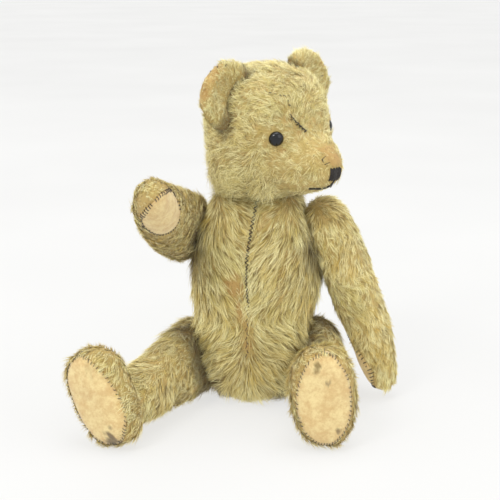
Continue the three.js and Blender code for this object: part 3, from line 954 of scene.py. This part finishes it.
# ---- Parts of the bear ------------------------------------------------------------------------------------
@dataclass
class Torso:
    """The body: its skin, its pile that whorls round the belly, and the seam down its front."""

    wardrobe: Wardrobe
    skin: Skin = field(default_factory=lambda: Skin(
        "torso_skin", "torso", ("body_panel_left", "body_panel_right"),
        ("body_stuffing", "neck_disc_in_body"), voxel=3.0, swell=2.2))
    pile: Pile = field(default_factory=lambda: Pile(
        "torso_pile", 37000, 12.5, 0.42, lift=0.3, lock=2.8, stray=0.2, seed=11))
    whorl: float = 64.0
    worn: tuple[Spot, ...] = (
        Spot((-11, -39, 81), 6.5), Spot((-8, -42, 67), 5.0, 0.9), Spot((7, -32, 121), 3.2, 0.6),
        Spot((37, -24, 65), 4.5, 0.8), Spot((23, -30, 102), 3.5, 0.7), Spot((-2, -42, 44), 3.5, 0.7),
        Spot((-3, -36, 104), 4.5, 0.55), Spot((-3, -42, 56), 3.5, 0.5),
    )
    seam: tuple[tuple[float, float], ...] = (
        (2.5, 134), (-0.2, 118), (-1.9, 107), (-3.0, 97), (-2.8, 84), (-2.0, 73), (-2.6, 55), (-2.8, 38))
    repair_top: float = 133.0
    repair_waist: float = 95.0
    repair_end: float = 72.0
    seam_end: float = 36.0

    def _seam_at(self, z: Array) -> Array:
        """The X of the front seam at some heights."""
        heights = [point[1] for point in reversed(self.seam)]
        return np.interp(z, heights, [point[0] for point in reversed(self.seam)])

    def grow(self, points: Array, normals: Array) -> Growth:
        """The torso's pile: towards the seam above the belly's whorl, away from it below."""
        x, _, z = points.T
        off = x - self._seam_at(z)
        side = np.tanh(off / 7)
        upper = smooth((z - self.whorl + 7) / 16)
        bottom = smooth((20 - z) / 14)
        front = smooth((-normals[:, 1] + 0.15) / 0.6)
        slope = side * (-0.95 * upper + 1.3 * (1 - upper) * (1 - bottom) - 0.5 * bottom)
        shoulder = smooth((z - 108) / 18) * smooth((np.abs(x) - 18) / 12)
        flare = 0.25 * side * (1 - front) + 0.9 * side * shoulder
        way = np.stack([slope * front * (1 - shoulder) + flare, np.zeros(len(x)), -np.ones(len(x))], 1)
        bare = np.max([spotted(points + unit(way) * ahead, self.worn) for ahead in (0, 4.5, 9)], 0)
        thin = Grain(9, 21)(points)
        split = np.exp(-((off / 1.6) ** 2)) * (normals[:, 1] < 0) * (z > 34)
        chance = 0.84 + 0.32 * thin - 0.86 * bare - 0.62 * split
        chance *= 1 - 0.6 * smooth((4 - z) / 4)
        length = 1 - 0.6 * bare - 0.35 * split + 0.18 * thin - 0.25 * smooth((z - 112) / 20)
        gold = 0.25 + 0.35 * Grain(24, 22)(points) + 0.3 * smooth((50 - z) / 40) + 0.25 * (np.abs(x) > 30)
        return Growth(np.clip(chance, 0, 1), length, way, np.clip(gold, 0, 1), self.soot(points))

    def soot(self, points: Array) -> Array:
        """Painted shade, mixed with grime, in the creases beside the limbs and under the chin."""
        shade_and_dirt = np.zeros(len(points))
        # Painted shade round the joints of the neck and limbs, and beside the legs; the grain adds grime.
        for joint in Joint.all():
            if joint.bodies[0] == self.skin.body:
                shade_and_dirt = np.maximum(shade_and_dirt, 0.75 * smooth((30 - np.linalg.norm(points - joint.at, axis=1)) / 14))
        for side in Side:
            shade_and_dirt = np.maximum(shade_and_dirt, 0.85 * smooth((17 - distance(points, "leg_inner_" + side.word)) / 11))
        return np.clip(shade_and_dirt + 0.18 * Grain(6, 23)(points), 0, 0.85)

    def _sew(self, surface: Surface) -> None:
        """The dark zigzag repair down the chest, wide above and narrow below, and the plain seam under it."""
        def touch(aside: float) -> tuple[Vector, Vector]:
            """The place on the front at a distance beside the seam, and the normal there."""
            start = Vector((float(self._seam_at(z)) - aside, -OUTSIDE, z))
            return surface.along_ray(start, Vector((0, 1, 0)))

        bold, fine = Sewing("front_seam_repair", 0.72), Sewing("front_seam", 0.42)
        path, step, z = [], 0, self.repair_top
        while z > self.repair_end:
            wide, drop = (1.6, 1.25) if z > self.repair_waist else (1.0, 1.05)
            place, normal = touch(wide if step % 2 else -wide)
            path.append(place + normal * (2.6 if step % 2 else 2.0))
            z -= drop
            step += 1
        bold.run(path)
        while z > self.seam_end:
            place, _ = touch(0.0)
            fine.stitch(surface, place, place + Vector((0.9 if step % 2 else -0.9, 0, -2.0)), 1.6)
            z -= 3.0
            step += 1
        bold.finish(self.skin.body, self.wardrobe.thread)
        fine.finish(self.skin.body, self.wardrobe.brown_thread)

    def build(self) -> None:
        """Builds the torso."""
        piece = self.skin.make(self.wardrobe.cloth)
        surface = Surface(piece)
        hold(piece.data, "bare", spotted(surface.points, self.worn))
        hold(piece.data, "soot", self.soot(surface.points))
        self.pile.make(surface, self.grow, self.skin.body, self.wardrobe.pile)
        self._sew(surface)


@dataclass
class Head:
    """The head: skin, short swirling pile, ears, button eyes, stitched nose and mouth, and old repairs."""

    wardrobe: Wardrobe
    skin: Skin = field(default_factory=lambda: Skin(
        "head_skin", "head", ("head_side_left", "head_side_right", "head_gusset"),
        ("head_stuffing", "neck_disc_in_head"), voxel=2.5, swell=1.6))
    pile: Pile = field(default_factory=lambda: Pile(
        "head_pile", 38500, 7.4, 0.3, lift=0.36, lock=2.0, gather=0.25, curl=0.9, stray=0.6, shade=0.58,
        seed=31))
    worn: tuple[Spot, ...] = (
        Spot((46, -43, 168.5), 5.5, 0.85), Spot((51, -42, 163.5), 5.0, 0.9),
        Spot((19.5, -45, 168.5), 2.8, 0.8), Spot((38, -44, 160), 3.2, 0.6), Spot((23, -43, 190), 3.5, 0.5),
        Spot((30, -40, 178), 3.0, 0.5), Spot((8, -41, 204), 5.0, 0.4), Spot((-8, -38, 205), 3.5, 0.5),
    )
    darn: tuple[Point, ...] = (
        (22.9, -42.9, 191.7), (24.7, -42.6, 188.0), (27.7, -41.1, 184.8), (32.4, -38.7, 179.6))
    dots: tuple[Point, ...] = (
        (7.7, -40.7, 204.6), (10.8, -40.7, 203.6), (13.6, -40.5, 202.6), (16.6, -40.2, 201.9),
        (19.1, -39.6, 201.5), (21.2, -40.8, 198.8), (22.4, -41.8, 196.4))
    loose_ends: tuple[tuple[Point, Point], ...] = (
        ((43.2, -48.9, 164.3), (1.6, -1.5, 2.4)), ((45.0, -48.9, 161.5), (2.6, -1.0, 1.4)),
        ((44.2, -49.0, 163.0), (-0.8, -1.8, 1.6)))
    eye_radius: float = 4.6

    def soot(self, points: Array) -> Array:
        """Painted shade beneath the chin and in the creases round the ears, with some grime over all."""
        # Painted shade under the chin and round the ears; the grain adds grime.
        shade_and_dirt = 0.55 * smooth((144 - points[:, 2]) / 7)
        for side in Side:
            shade_and_dirt = np.maximum(shade_and_dirt, 0.85 * smooth((5.5 - distance(points, "ear_front_" + side.word)) / 3.5))
        return np.clip(shade_and_dirt + 0.16 * Grain(5, 41)(points), 0, 0.9)

    def grow(self, points: Array, normals: Array) -> Growth:
        """The head's pile: back from the nose, down the cheeks, thin on the muzzle."""
        away = points - centre("nose")
        far = np.linalg.norm(away, axis=1)
        low = smooth((172 - points[:, 2]) / 26)
        way = unit(away) + 0.55 * swirl(points, 26, 42) + np.array([0, 0, -1.0]) * (0.25 + 0.9 * low)[:, None]
        bare = spotted(points, self.worn)
        thin = Grain(7, 45)(points)
        chance = 0.76 + 0.3 * thin - 0.86 * bare
        length = 0.5 + 0.5 * smooth((far - 16) / 34) + 0.75 * low * smooth((far - 34) / 20)
        length += 0.15 * thin - 0.3 * bare
        chance *= 0.62 + 0.38 * smooth((far - 6) / 24)
        chance *= smooth((np.linalg.norm(points - centre("mouth"), axis=1) - 2) / 5)
        for side in Side:
            eye = np.linalg.norm(points - centre("eye_" + side.word), axis=1)
            chance *= smooth((eye - self.eye_radius) / 2.5)
            length *= 0.45 + 0.55 * smooth((eye - 5) / 8)
        chance[far < 7] = 0
        gold = np.clip(0.12 + 0.3 * Grain(15, 46)(points) + 0.2 * low, 0, 1)
        return Growth(np.clip(chance, 0, 1), length, way, gold, self.soot(points) * 0.8)

    def _eye(self, side: Side, surface: Surface) -> None:
        """One boot-button eye: a glossy dome with a flat rim, over its CAD node."""
        name = "eye_" + side.word
        points = packed(name)
        place, normal, _, _ = surface.tree.find_nearest(Vector((points.min(0) + points.max(0)) / 2))
        shaped = bmesh.new()
        bmesh.ops.create_uvsphere(shaped, u_segments=40, v_segments=24, radius=self.eye_radius * MM)
        bmesh.ops.scale(shaped, vec=(1, 1, 0.74), verts=shaped.verts)
        below = [vert for vert in shaped.verts if vert.co.z < -0.6 * MM]
        bmesh.ops.scale(shaped, vec=(1, 1, 0.35), verts=below)
        proud = 0.4 if side is Side.RIGHT else -2.4
        look = (normal - Vector((0, 0, 0.05))).normalized()
        turn = Vector((0, 0, 1)).rotation_difference(look).to_matrix().to_4x4()
        move = Matrix.Translation((place + normal * proud) * MM)
        bmesh.ops.transform(shaped, matrix=move @ turn, verts=shaped.verts)
        piece = model(name + "_button", shaped)
        piece.data.shade_smooth()
        dress(piece, self.skin.body, self.wardrobe.eye, (name,))

    def _face(self, surface: Surface) -> None:
        """The nose in upright satin threads, the mouth in two long ones."""
        def touch(across: float, height: float) -> tuple[Vector, Vector]:
            """The place on the muzzle so far across it and so high, and the normal there."""
            start = middle + left * across + forward * 30
            start.z = height
            return surface.along_ray(start, -forward)

        nose = packed("nose")
        middle, top, bottom = Vector(nose.mean(0)), nose[:, 2].max() - 0.3, nose[:, 2].min() + 0.5
        forward = middle - Vector(centre("head_stuffing"))
        forward.z = 0
        forward.normalize()
        left = Vector((-forward.y, forward.x, 0))
        sewing = Sewing("nose_threads", 0.98)
        for index in range(12):
            across = -4.4 + index * 0.8
            foot = bottom + 0.7 * (index % 2) + 0.35 * abs(across) * 0.3
            ends = []
            for height in (top - 0.5 * (index % 3), middle.z, foot):
                ends.append(touch(across * (1.0 if height > middle.z else 0.92), height))
            lifts = (0.35, 0.95, 0.35)
            sewing.run([place + normal * lift for (place, normal), lift in zip(ends, lifts)])
        sewing.finish(self.skin.body, self.wardrobe.thread, ("nose",))
        lower = packed("mouth")[:, 2].min()
        sewing = Sewing("mouth_threads", 1.1)
        for way in (-1, 1):
            path = []
            smile = ((2.5, lower + 0.9), (5.0, lower + 0.2), (7.4, lower + 0.6), (9.4, lower + 0.3))
            for across, height in ((0.0, bottom + 1.5), (0.1, lower + 2.2), *smile):
                place, normal = touch(across * way, height)
                path.append(place + normal * 0.65)
            sewing.run(path)
        sewing.finish(self.skin.body, self.wardrobe.thread, ("mouth",))

    def _repairs(self, surface: Surface) -> None:
        """Dark darning above the near eye, small dotted stitches on the brow, and loose ends by the nose."""
        sewing = Sewing("brow_repair", 0.42)
        line = [Vector(point) for point in self.darn]
        along = [line[0].lerp(line[1], 0.5), line[1], line[1].lerp(line[2], 0.5), line[2]]
        along += [line[2].lerp(line[3], share / 6) for share in range(1, 7)]
        for index, point in enumerate(along):
            reach = Vector((2.0, 0, 1.3)) if index % 2 else Vector((-1.2, 0, 1.6))
            sewing.stitch(surface, point - reach * 0.5, point + reach * 0.6, 1.8)
        sway = Vector((0.6, 0, 0.5))
        swayed = [point + (sway if index % 2 else -sway) for index, point in enumerate(along)]
        sewing.run([surface.onto(point, 1.6) for point in swayed])
        for point in self.dots:
            sewing.stitch(surface, Vector(point), Vector(point) + Vector((1.5, 0, -0.5)), 1.0)
        for start, way in self.loose_ends:
            root = surface.onto(start)
            sewing.run([root, root + Vector(way) * 0.6, root + Vector(way) + Vector((0.6, 0, 0.2))])
        sewing.finish(self.skin.body, self.wardrobe.thread)

    def build(self) -> None:
        """Builds the head with its ears."""
        piece = self.skin.make(self.wardrobe.cloth)
        surface = Surface(piece)
        hold(piece.data, "bare", spotted(surface.points, self.worn))
        hold(piece.data, "soot", self.soot(surface.points) * 0.7)
        self.pile.make(surface, self.grow, self.skin.body, self.wardrobe.pile)
        for side in Side:
            self._eye(side, surface)
            Ear(self.wardrobe, side).build()
        self._face(surface)
        self._repairs(surface)


@dataclass
class Ear:
    """One cupped ear of two layers, its rim rubbed down to the weave."""

    wardrobe: Wardrobe
    side: Side

    def _frame(self) -> tuple[Array, Array]:
        """The ear's middle and the way from its base to its rim."""
        middle = centre("ear_back_" + self.side.word)
        return middle, unit(middle - (centre("head_stuffing") + np.array([0, 0, 12.0])))

    def _rim(self, points: Array) -> Array:
        """How near some points are to the rim."""
        middle, up = self._frame()
        return smooth(((points - middle) @ up - 8.2) / 2.6)

    def grow(self, points: Array, normals: Array) -> Growth:
        """Short pile that lies up towards the rim and thins out there."""
        _, up = self._frame()
        way = up + 0.4 * swirl(points, 12, 51)
        rim = self._rim(points)
        facing = smooth((-normals[:, 1] - 0.1) / 0.5)
        chance = np.clip(0.85 - 0.62 * rim * (0.4 + 0.6 * facing) + 0.25 * Grain(6, 54)(points), 0, 1)
        length = 0.9 - 0.5 * rim
        gold = np.clip(0.15 + 0.25 * Grain(9, 55)(points), 0, 1)
        return Growth(chance, length, way, gold, self.soot(points))

    def soot(self, points: Array) -> Array:
        """Painted shade in the crease at the ear's base, with some grime over all."""
        middle, up = self._frame()
        # Painted shade in the crease at the ear's base.
        crease = 0.75 * smooth((-3.5 - (points - middle) @ up) / 4)
        return np.clip(crease + 0.15 * Grain(5, 56)(points), 0, 0.85)

    def build(self) -> None:
        """Builds the ear, its pile and the dark stitches round its rim."""
        word = self.side.word
        covers = ("ear_front_" + word, "ear_back_" + word)
        skin = Skin("ear_skin_" + word, "head", covers, (), voxel=1.3, swell=0.5, smoothing=4, pressure=2.0,
                    fill=0.3)
        piece = skin.make(self.wardrobe.cloth)
        surface = Surface(piece)
        rim = self._rim(surface.points)
        hold(piece.data, "bare", np.clip(rim * (0.75 + 0.4 * Grain(4, 57)(surface.points)), 0, 1))
        hold(piece.data, "soot", self.soot(surface.points))
        pile = Pile("ear_pile_" + word, 5200, 5.5, 0.3, lift=0.3, lock=1.8, stray=0.4, shade=0.74, rows=2,
                    seed=61 + self.side.value)
        pile.make(surface, self.grow, "head", self.wardrobe.pile)
        middle, up = self._frame()
        across = Vector(np.cross(up, (0, -1, 0))).normalized()
        sewing = Sewing("ear_stitches_" + word, 0.5)
        for index in range(9):
            turn = math.radians(-64 + index * 16)
            way = Vector(up) * math.cos(turn) + across * math.sin(turn)
            place, normal = surface.along_ray(Vector(middle) + way * OUTSIDE, -way)
            sewing.stitch(surface, place + Vector((0, -1.4, 0)), place + Vector((0, 1.2, 0.4)), 0.4)
        sewing.finish("head", self.wardrobe.brown_thread)


class Mark(Enum):
    """What can mark a felt pad, as the attribute that it shows through."""

    STAIN = "stain"
    MOSS = "moss"


@dataclass
class Pad:
    """A felt pad sewn over an opening with dark whip stitches."""

    wardrobe: Wardrobe
    node: str
    body: str
    marks: dict[Mark, tuple[Spot, ...]] = field(default_factory=dict)
    crown: float = 0.9
    thick: float = 0.9
    proud: float = 0.45
    rings: int = 12
    segments: int = 84
    spacing: float = 2.3
    thread: float = 0.4
    under: float = -4.5
    over: float = 11.0

    def __post_init__(self) -> None:
        """Reads the pad's plane and size from its CAD node."""
        points = packed(self.node)
        _, _, axes = np.linalg.svd(points - points.mean(0), full_matrices=False)
        self.long, self.wide, self.out = axes
        reach = (points - points.mean(0)) @ axes.T
        self.middle = points.mean(0) + ((reach.max(0) + reach.min(0)) / 2) @ axes
        self.half_long, self.half_wide = (reach.max(0) - reach.min(0))[:2] / 2 + 0.6
        stuffing = self.node.replace("sole_pad", "leg_stuffing").replace("paw_pad", "arm_stuffing")
        if (self.middle - centre(stuffing)) @ self.out < 0:
            self.out = -self.out

    def inside(self, points: Array) -> Array:
        """How far out some points lie on the pad: 1 at its edge, and 9 if they are on another face."""
        offset = points - self.middle
        share = np.hypot(offset @ self.long / self.half_long, offset @ self.wide / self.half_wide)
        depth = offset @ self.out
        return np.where((depth > self.under) & (depth < self.over), share, 9.0)

    def _flattened(self, points: Array) -> Array:
        """Some points moved straight on to the pad's plane."""
        return points - ((points - self.middle) @ self.out)[..., None] * self.out

    def _spot(self, surface: Surface, angle: float, share: float) -> tuple[Vector, Vector]:
        """A place on the cloth at an angle and a share of the pad's radius, and the normal there."""
        ragged = 1 + 0.012 * math.sin(3 * angle + 1) + 0.008 * math.sin(7 * angle)
        flat = self.middle + self.long * math.cos(angle) * self.half_long * share * ragged
        flat = flat + self.wide * math.sin(angle) * self.half_wide * share * ragged
        height = self.over + 3
        return surface.along_ray(Vector(flat + self.out * height), Vector(-self.out), height + 2)

    def _felt(self, surface: Surface) -> bpy.types.Object:
        """The crowned felt, as a disc of rings dropped on to the cloth and given its thickness."""
        shaped = bmesh.new()
        bmesh.ops.create_circle(shaped, cap_ends=True, cap_tris=False, segments=self.segments, radius=1.0)
        for _ in range(self.rings):
            core = max(shaped.faces, key=lambda face: len(face.verts))
            bmesh.ops.inset_region(shaped, faces=[core], use_boundary=True, use_even_offset=True,
                                   thickness=0.96 / (self.rings + 1))
        core = max(shaped.faces, key=lambda face: len(face.verts))
        bmesh.ops.poke(shaped, faces=[core])
        for vert in shaped.verts:
            share = min(1.0, vert.co.length)
            angle = math.atan2(vert.co.y, vert.co.x)
            place, normal = self._spot(surface, angle, share)
            lift = 0.35 + self.crown * (1 - share**2) + 0.5 * (1 - share**10)
            vert.co = (place + (normal + Vector(self.out)).normalized() * lift) * MM
        bmesh.ops.recalc_face_normals(shaped, faces=shaped.faces)
        if sum(face.normal.dot(Vector(self.out)) for face in shaped.faces) < 0:
            bmesh.ops.reverse_faces(shaped, faces=shaped.faces)
        inner = [vert for vert in shaped.verts if not vert.is_boundary]
        relax(shaped, inner)
        for vert in shaped.verts:
            place, normal, _, _ = surface.tree.find_nearest(vert.co / MM)
            if (vert.co / MM - place).dot(normal) < self.proud:
                vert.co = (place + normal * self.proud) * MM
        piece = model(self.node + "_felt", shaped)
        solid = piece.modifiers.new("Solidify", "SOLIDIFY")
        solid.thickness = self.thick * MM
        solid.offset = -1
        settle(piece)
        piece.data.shade_smooth()
        return piece

    def make(self, surface: Surface) -> None:
        """Makes the felt and its stitches.

        Args:
            surface: The limb's cloth.
        """
        piece = self._felt(surface)
        points = coords(piece.data)
        share = self.inside(points)
        hold(piece.data, "edge", smooth((share - 0.78) / 0.2))
        flat = self._flattened(points)
        for mark in Mark:
            spots = self.marks.get(mark, ())
            spots = [replace(spot, at=tuple(self._flattened(np.array(spot.at)))) for spot in spots]
            hold(piece.data, mark.value, spotted(flat, spots))
        dress(piece, self.body, self.wardrobe.felt, (self.node,))
        felt = Surface(piece)
        sewing = Sewing(self.node + "_whip_stitches", self.thread)
        around = math.pi * (self.half_long + self.half_wide)
        count = round(around / self.spacing)
        draw = np.random.default_rng(len(self.node) * 7 + count)
        for index in range(count):
            angle = math.tau * index / count
            if draw.random() < 0.06:
                continue
            inner, normal_in = self._spot(felt, angle + 0.02, 0.955 + draw.uniform(-0.015, 0.015))
            aside = angle + 0.045 + draw.uniform(-0.02, 0.02)
            outer, normal_out = self._spot(surface, aside, 1.0 + draw.uniform(0, 0.03))
            edge, normal = self._spot(felt, angle + 0.04, 0.985)
            sewing.run([inner - normal_in * 0.4, inner + normal_in * 0.3, edge + normal * 0.7,
                        outer + normal_out * 0.6, outer - normal_out * 0.5])
        sewing.finish(self.body, self.wardrobe.thread)


@dataclass
class Limb:
    """What an arm and a leg share: a stuffed skin on one joint, a pile along it and one felt pad."""

    wardrobe: Wardrobe
    side: Side
    kind: str = "arm"
    pad_word: str = "paw_pad"
    voxel: float = 2.3
    strands: int = 17500
    length: float = 8.5
    base_gold: float = 0.5
    thread: float = 0.5
    # How dark the painted shade, with some grime, is in the joint's crease.
    grime_and_shade: float = 0.3
    marks: dict[Mark, tuple[Spot, ...]] = field(default_factory=dict)

    def __post_init__(self) -> None:
        """Finds the limb's joint, its pad and the way along it."""
        word = self.side.word
        self.body = f"{self.kind}_{word}"
        self.joint = next(joint for joint in Joint.all() if self.body in joint.bodies)
        self.pad = Pad(self.wardrobe, f"{self.pad_word}_{word}", self.body, self.marks, thread=self.thread)
        self.along = unit(self.pad.middle - self.joint.at)

    def grow(self, points: Array, normals: Array) -> Growth:
        """The limb's pile: along it to its end, shorter there, and none under the felt."""
        thin = Grain(8, 71)(points)
        share = self.pad.inside(points)
        reach = (points - self.joint.at) @ self.along
        chance = (0.9 + 0.3 * thin) * (share > 1.0)
        chance *= 1 - 0.25 * smooth((1.3 - share) / 0.3)
        length = 0.95 + 0.2 * thin - 0.5 * smooth((1.7 - share) / 0.6)
        length *= 1 - 0.25 * smooth((reach - 70) / 30)
        gold = np.clip(self.base_gold + 0.4 * Grain(19, 72)(points) + 0.15 * thin, 0, 1)
        return Growth(np.clip(chance, 0, 1), length, self.way(points), gold, self.soot(points))

    def way(self, points: Array) -> Array:
        """The way the pile lies: along the limb, wandering."""
        raise NotImplementedError

    def soot(self, points: Array) -> Array:
        """Painted shade with some grime in the crease at the joint, random grime, and darker low down near
        the ground.
        """
        height = np.abs((points - self.joint.at) @ self.joint.axis)
        near = np.linalg.norm(points - self.joint.at, axis=1)
        # Painted shade, with some grime, in the crease at the joint.
        crease = self.grime_and_shade * smooth((8 - height) / 7) * smooth((34 - near) / 14)
        return np.clip(crease + 0.2 * Grain(7, 76)(points) + 0.25 * smooth((7 - points[:, 2]) / 7), 0, 0.8)

    def build(self) -> None:
        """Builds the limb."""
        word = self.side.word
        skin = Skin(
            f"{self.body}_skin", self.body, (f"{self.kind}_outer_{word}", f"{self.kind}_inner_{word}"),
            (f"{self.kind}_stuffing_{word}", f"{self.kind}_disc_{word}", f"{self.pad_word}_{word}"),
            voxel=self.voxel, swell=1.5)
        piece = skin.make(self.wardrobe.cloth)
        surface = Surface(piece)
        hold(piece.data, "bare", 0.35 * smooth((1.2 - self.pad.inside(surface.points)) / 0.2))
        hold(piece.data, "soot", self.soot(surface.points))
        self.pad.make(surface)
        pile = Pile(f"{self.body}_pile", self.strands, self.length, 0.48, lift=0.26, lock=2.5, curl=0.8,
                    stray=0.34, shade=0.54, rows=2, seed=80 + len(self.body) * 3 + self.side.value)
        pile.make(surface, self.grow, self.body, self.wardrobe.pile)


@dataclass
class Arm(Limb):
    """An arm, with golden pile."""

    def way(self, points: Array) -> Array:
        """Along the arm to the paw."""
        return self.along + 0.35 * swirl(points, 26, 91)


@dataclass
class Leg(Limb):
    """A leg, with its foot turned up and its sole flat."""

    kind: str = "leg"
    pad_word: str = "sole_pad"
    strands: int = 19500
    length: float = 10.5
    base_gold: float = 0.45
    thread: float = 0.34
    # Darker painted shade, with some grime, in the hip's crease.
    grime_and_shade: float = 0.5

    def way(self, points: Array) -> Array:
        """Along the leg, and down its sides."""
        return self.along + 0.4 * swirl(points, 24, 94) + np.array([0, 0, -0.45])

    def soot(self, points: Array) -> Array:
        """As on any limb, and painted shade with some grime where the leg lies against the belly."""
        belly = distance(points, "body_panel_" + self.side.word)
        # Painted shade, with some grime, where the leg lies against the belly.
        return np.maximum(super().soot(points), 0.85 * smooth((18 - belly) / 12))


# ---- Studio -----------------------------------------------------------------------------------------------
@dataclass(frozen=True)
class Lamp:
    """One soft square light that faces the bear: its place and width in metres, and its power in watts."""

    name: str
    at: Point
    width: float
    power: float

    def hang(self) -> None:
        """Adds the light to the scene."""
        data = bpy.data.lights.new(self.name, "AREA")
        data.size, data.energy = self.width, self.power
        lamp = bpy.data.objects.new(self.name, data)
        lamp.location = self.at
        lamp.rotation_euler = (Vector((0, 0, 0.1)) - Vector(self.at)).to_track_quat("-Z", "Y").to_euler()
        bpy.context.scene.collection.objects.link(lamp)


@dataclass(frozen=True)
class Studio:
    """The camera, in degrees and millimetres, the pale floor and soft light."""

    target: Point = (0, 0, 125)
    distance: float = 768.0
    elevation: float = 12.0
    azimuth: float = -4.0
    lens: float = 85.0
    shift: tuple[float, float] = (-0.012, -0.088)
    lamps: tuple[Lamp, ...] = (
        Lamp("key", (-0.8, -1.3, 1.6), 0.6, 13), Lamp("fill", (1.4, -0.8, 0.9), 1.2, 5),
        Lamp("top", (0.1, 0.1, 1.8), 1.2, 12),
    )
    sky: float = 0.95

    def _camera(self) -> None:
        """The camera at the bear's front, a little above it."""
        up, turn = math.radians(self.elevation), math.radians(self.azimuth)
        forward = Vector((math.sin(turn) * math.cos(up), math.cos(turn) * math.cos(up), -math.sin(up)))
        data = bpy.data.cameras.new("camera")
        data.lens, data.sensor_width = self.lens, 36.0
        data.shift_x, data.shift_y = self.shift
        data.clip_start, data.clip_end = 0.01, 60.0
        camera = bpy.data.objects.new("camera", data)
        camera.location = (Vector(self.target) - forward * self.distance) * MM
        camera.rotation_euler = forward.to_track_quat("-Z", "Y").to_euler()
        bpy.context.scene.collection.objects.link(camera)
        bpy.context.scene.camera = camera

    def build(self, floor: bpy.types.Material) -> None:
        """Sets the studio up.

        Args:
            floor: The floor's material.
        """
        self._camera()
        shaped = bmesh.new()
        bmesh.ops.create_grid(shaped, x_segments=2, y_segments=2, size=14.0)
        ground = model("studio_floor", shaped)
        ground.data.materials.append(floor)
        for lamp in self.lamps:
            lamp.hang()
        world = bpy.data.worlds.new("studio_world")
        world.use_nodes = True
        sky = world.node_tree.nodes["Background"].inputs
        sky["Color"].default_value, sky["Strength"].default_value = (1.0, 1.0, 1.0, 1.0), self.sky
        bpy.context.scene.world = world
        bpy.context.scene.view_settings.view_transform = "Standard"


def main() -> None:
    """Builds the studio and then the bear, part by part."""
    logging.basicConfig(level=logging.INFO, format="%(message)s")
    wardrobe = Wardrobe()
    Studio().build(wardrobe.floor)
    wardrobe.dress_hidden()
    Torso(wardrobe).build()
    Head(wardrobe).build()
    for side in Side:
        Arm(wardrobe, side).build()
    Leg(wardrobe, Side.LEFT, marks={
        Mark.MOSS: (Spot((42, -104, 54.5), 2.2), Spot((41.6, -104, 50.5), 2.0, 0.9)),
        Mark.STAIN: (Spot((49, -104, 44), 1.3, 0.7), Spot((55, -103, 14), 1.4, 0.8)),
    }).build()
    Leg(wardrobe, Side.RIGHT, marks={
        Mark.MOSS: (Spot((-88, -108, 50), 4.0, 0.25),),
        Mark.STAIN: (Spot((-76, -112.5, 7), 5.5), Spot((-76, -112.8, 16), 1.4, 0.8)),
    }).build()


if __name__ == "__main__":
    main()
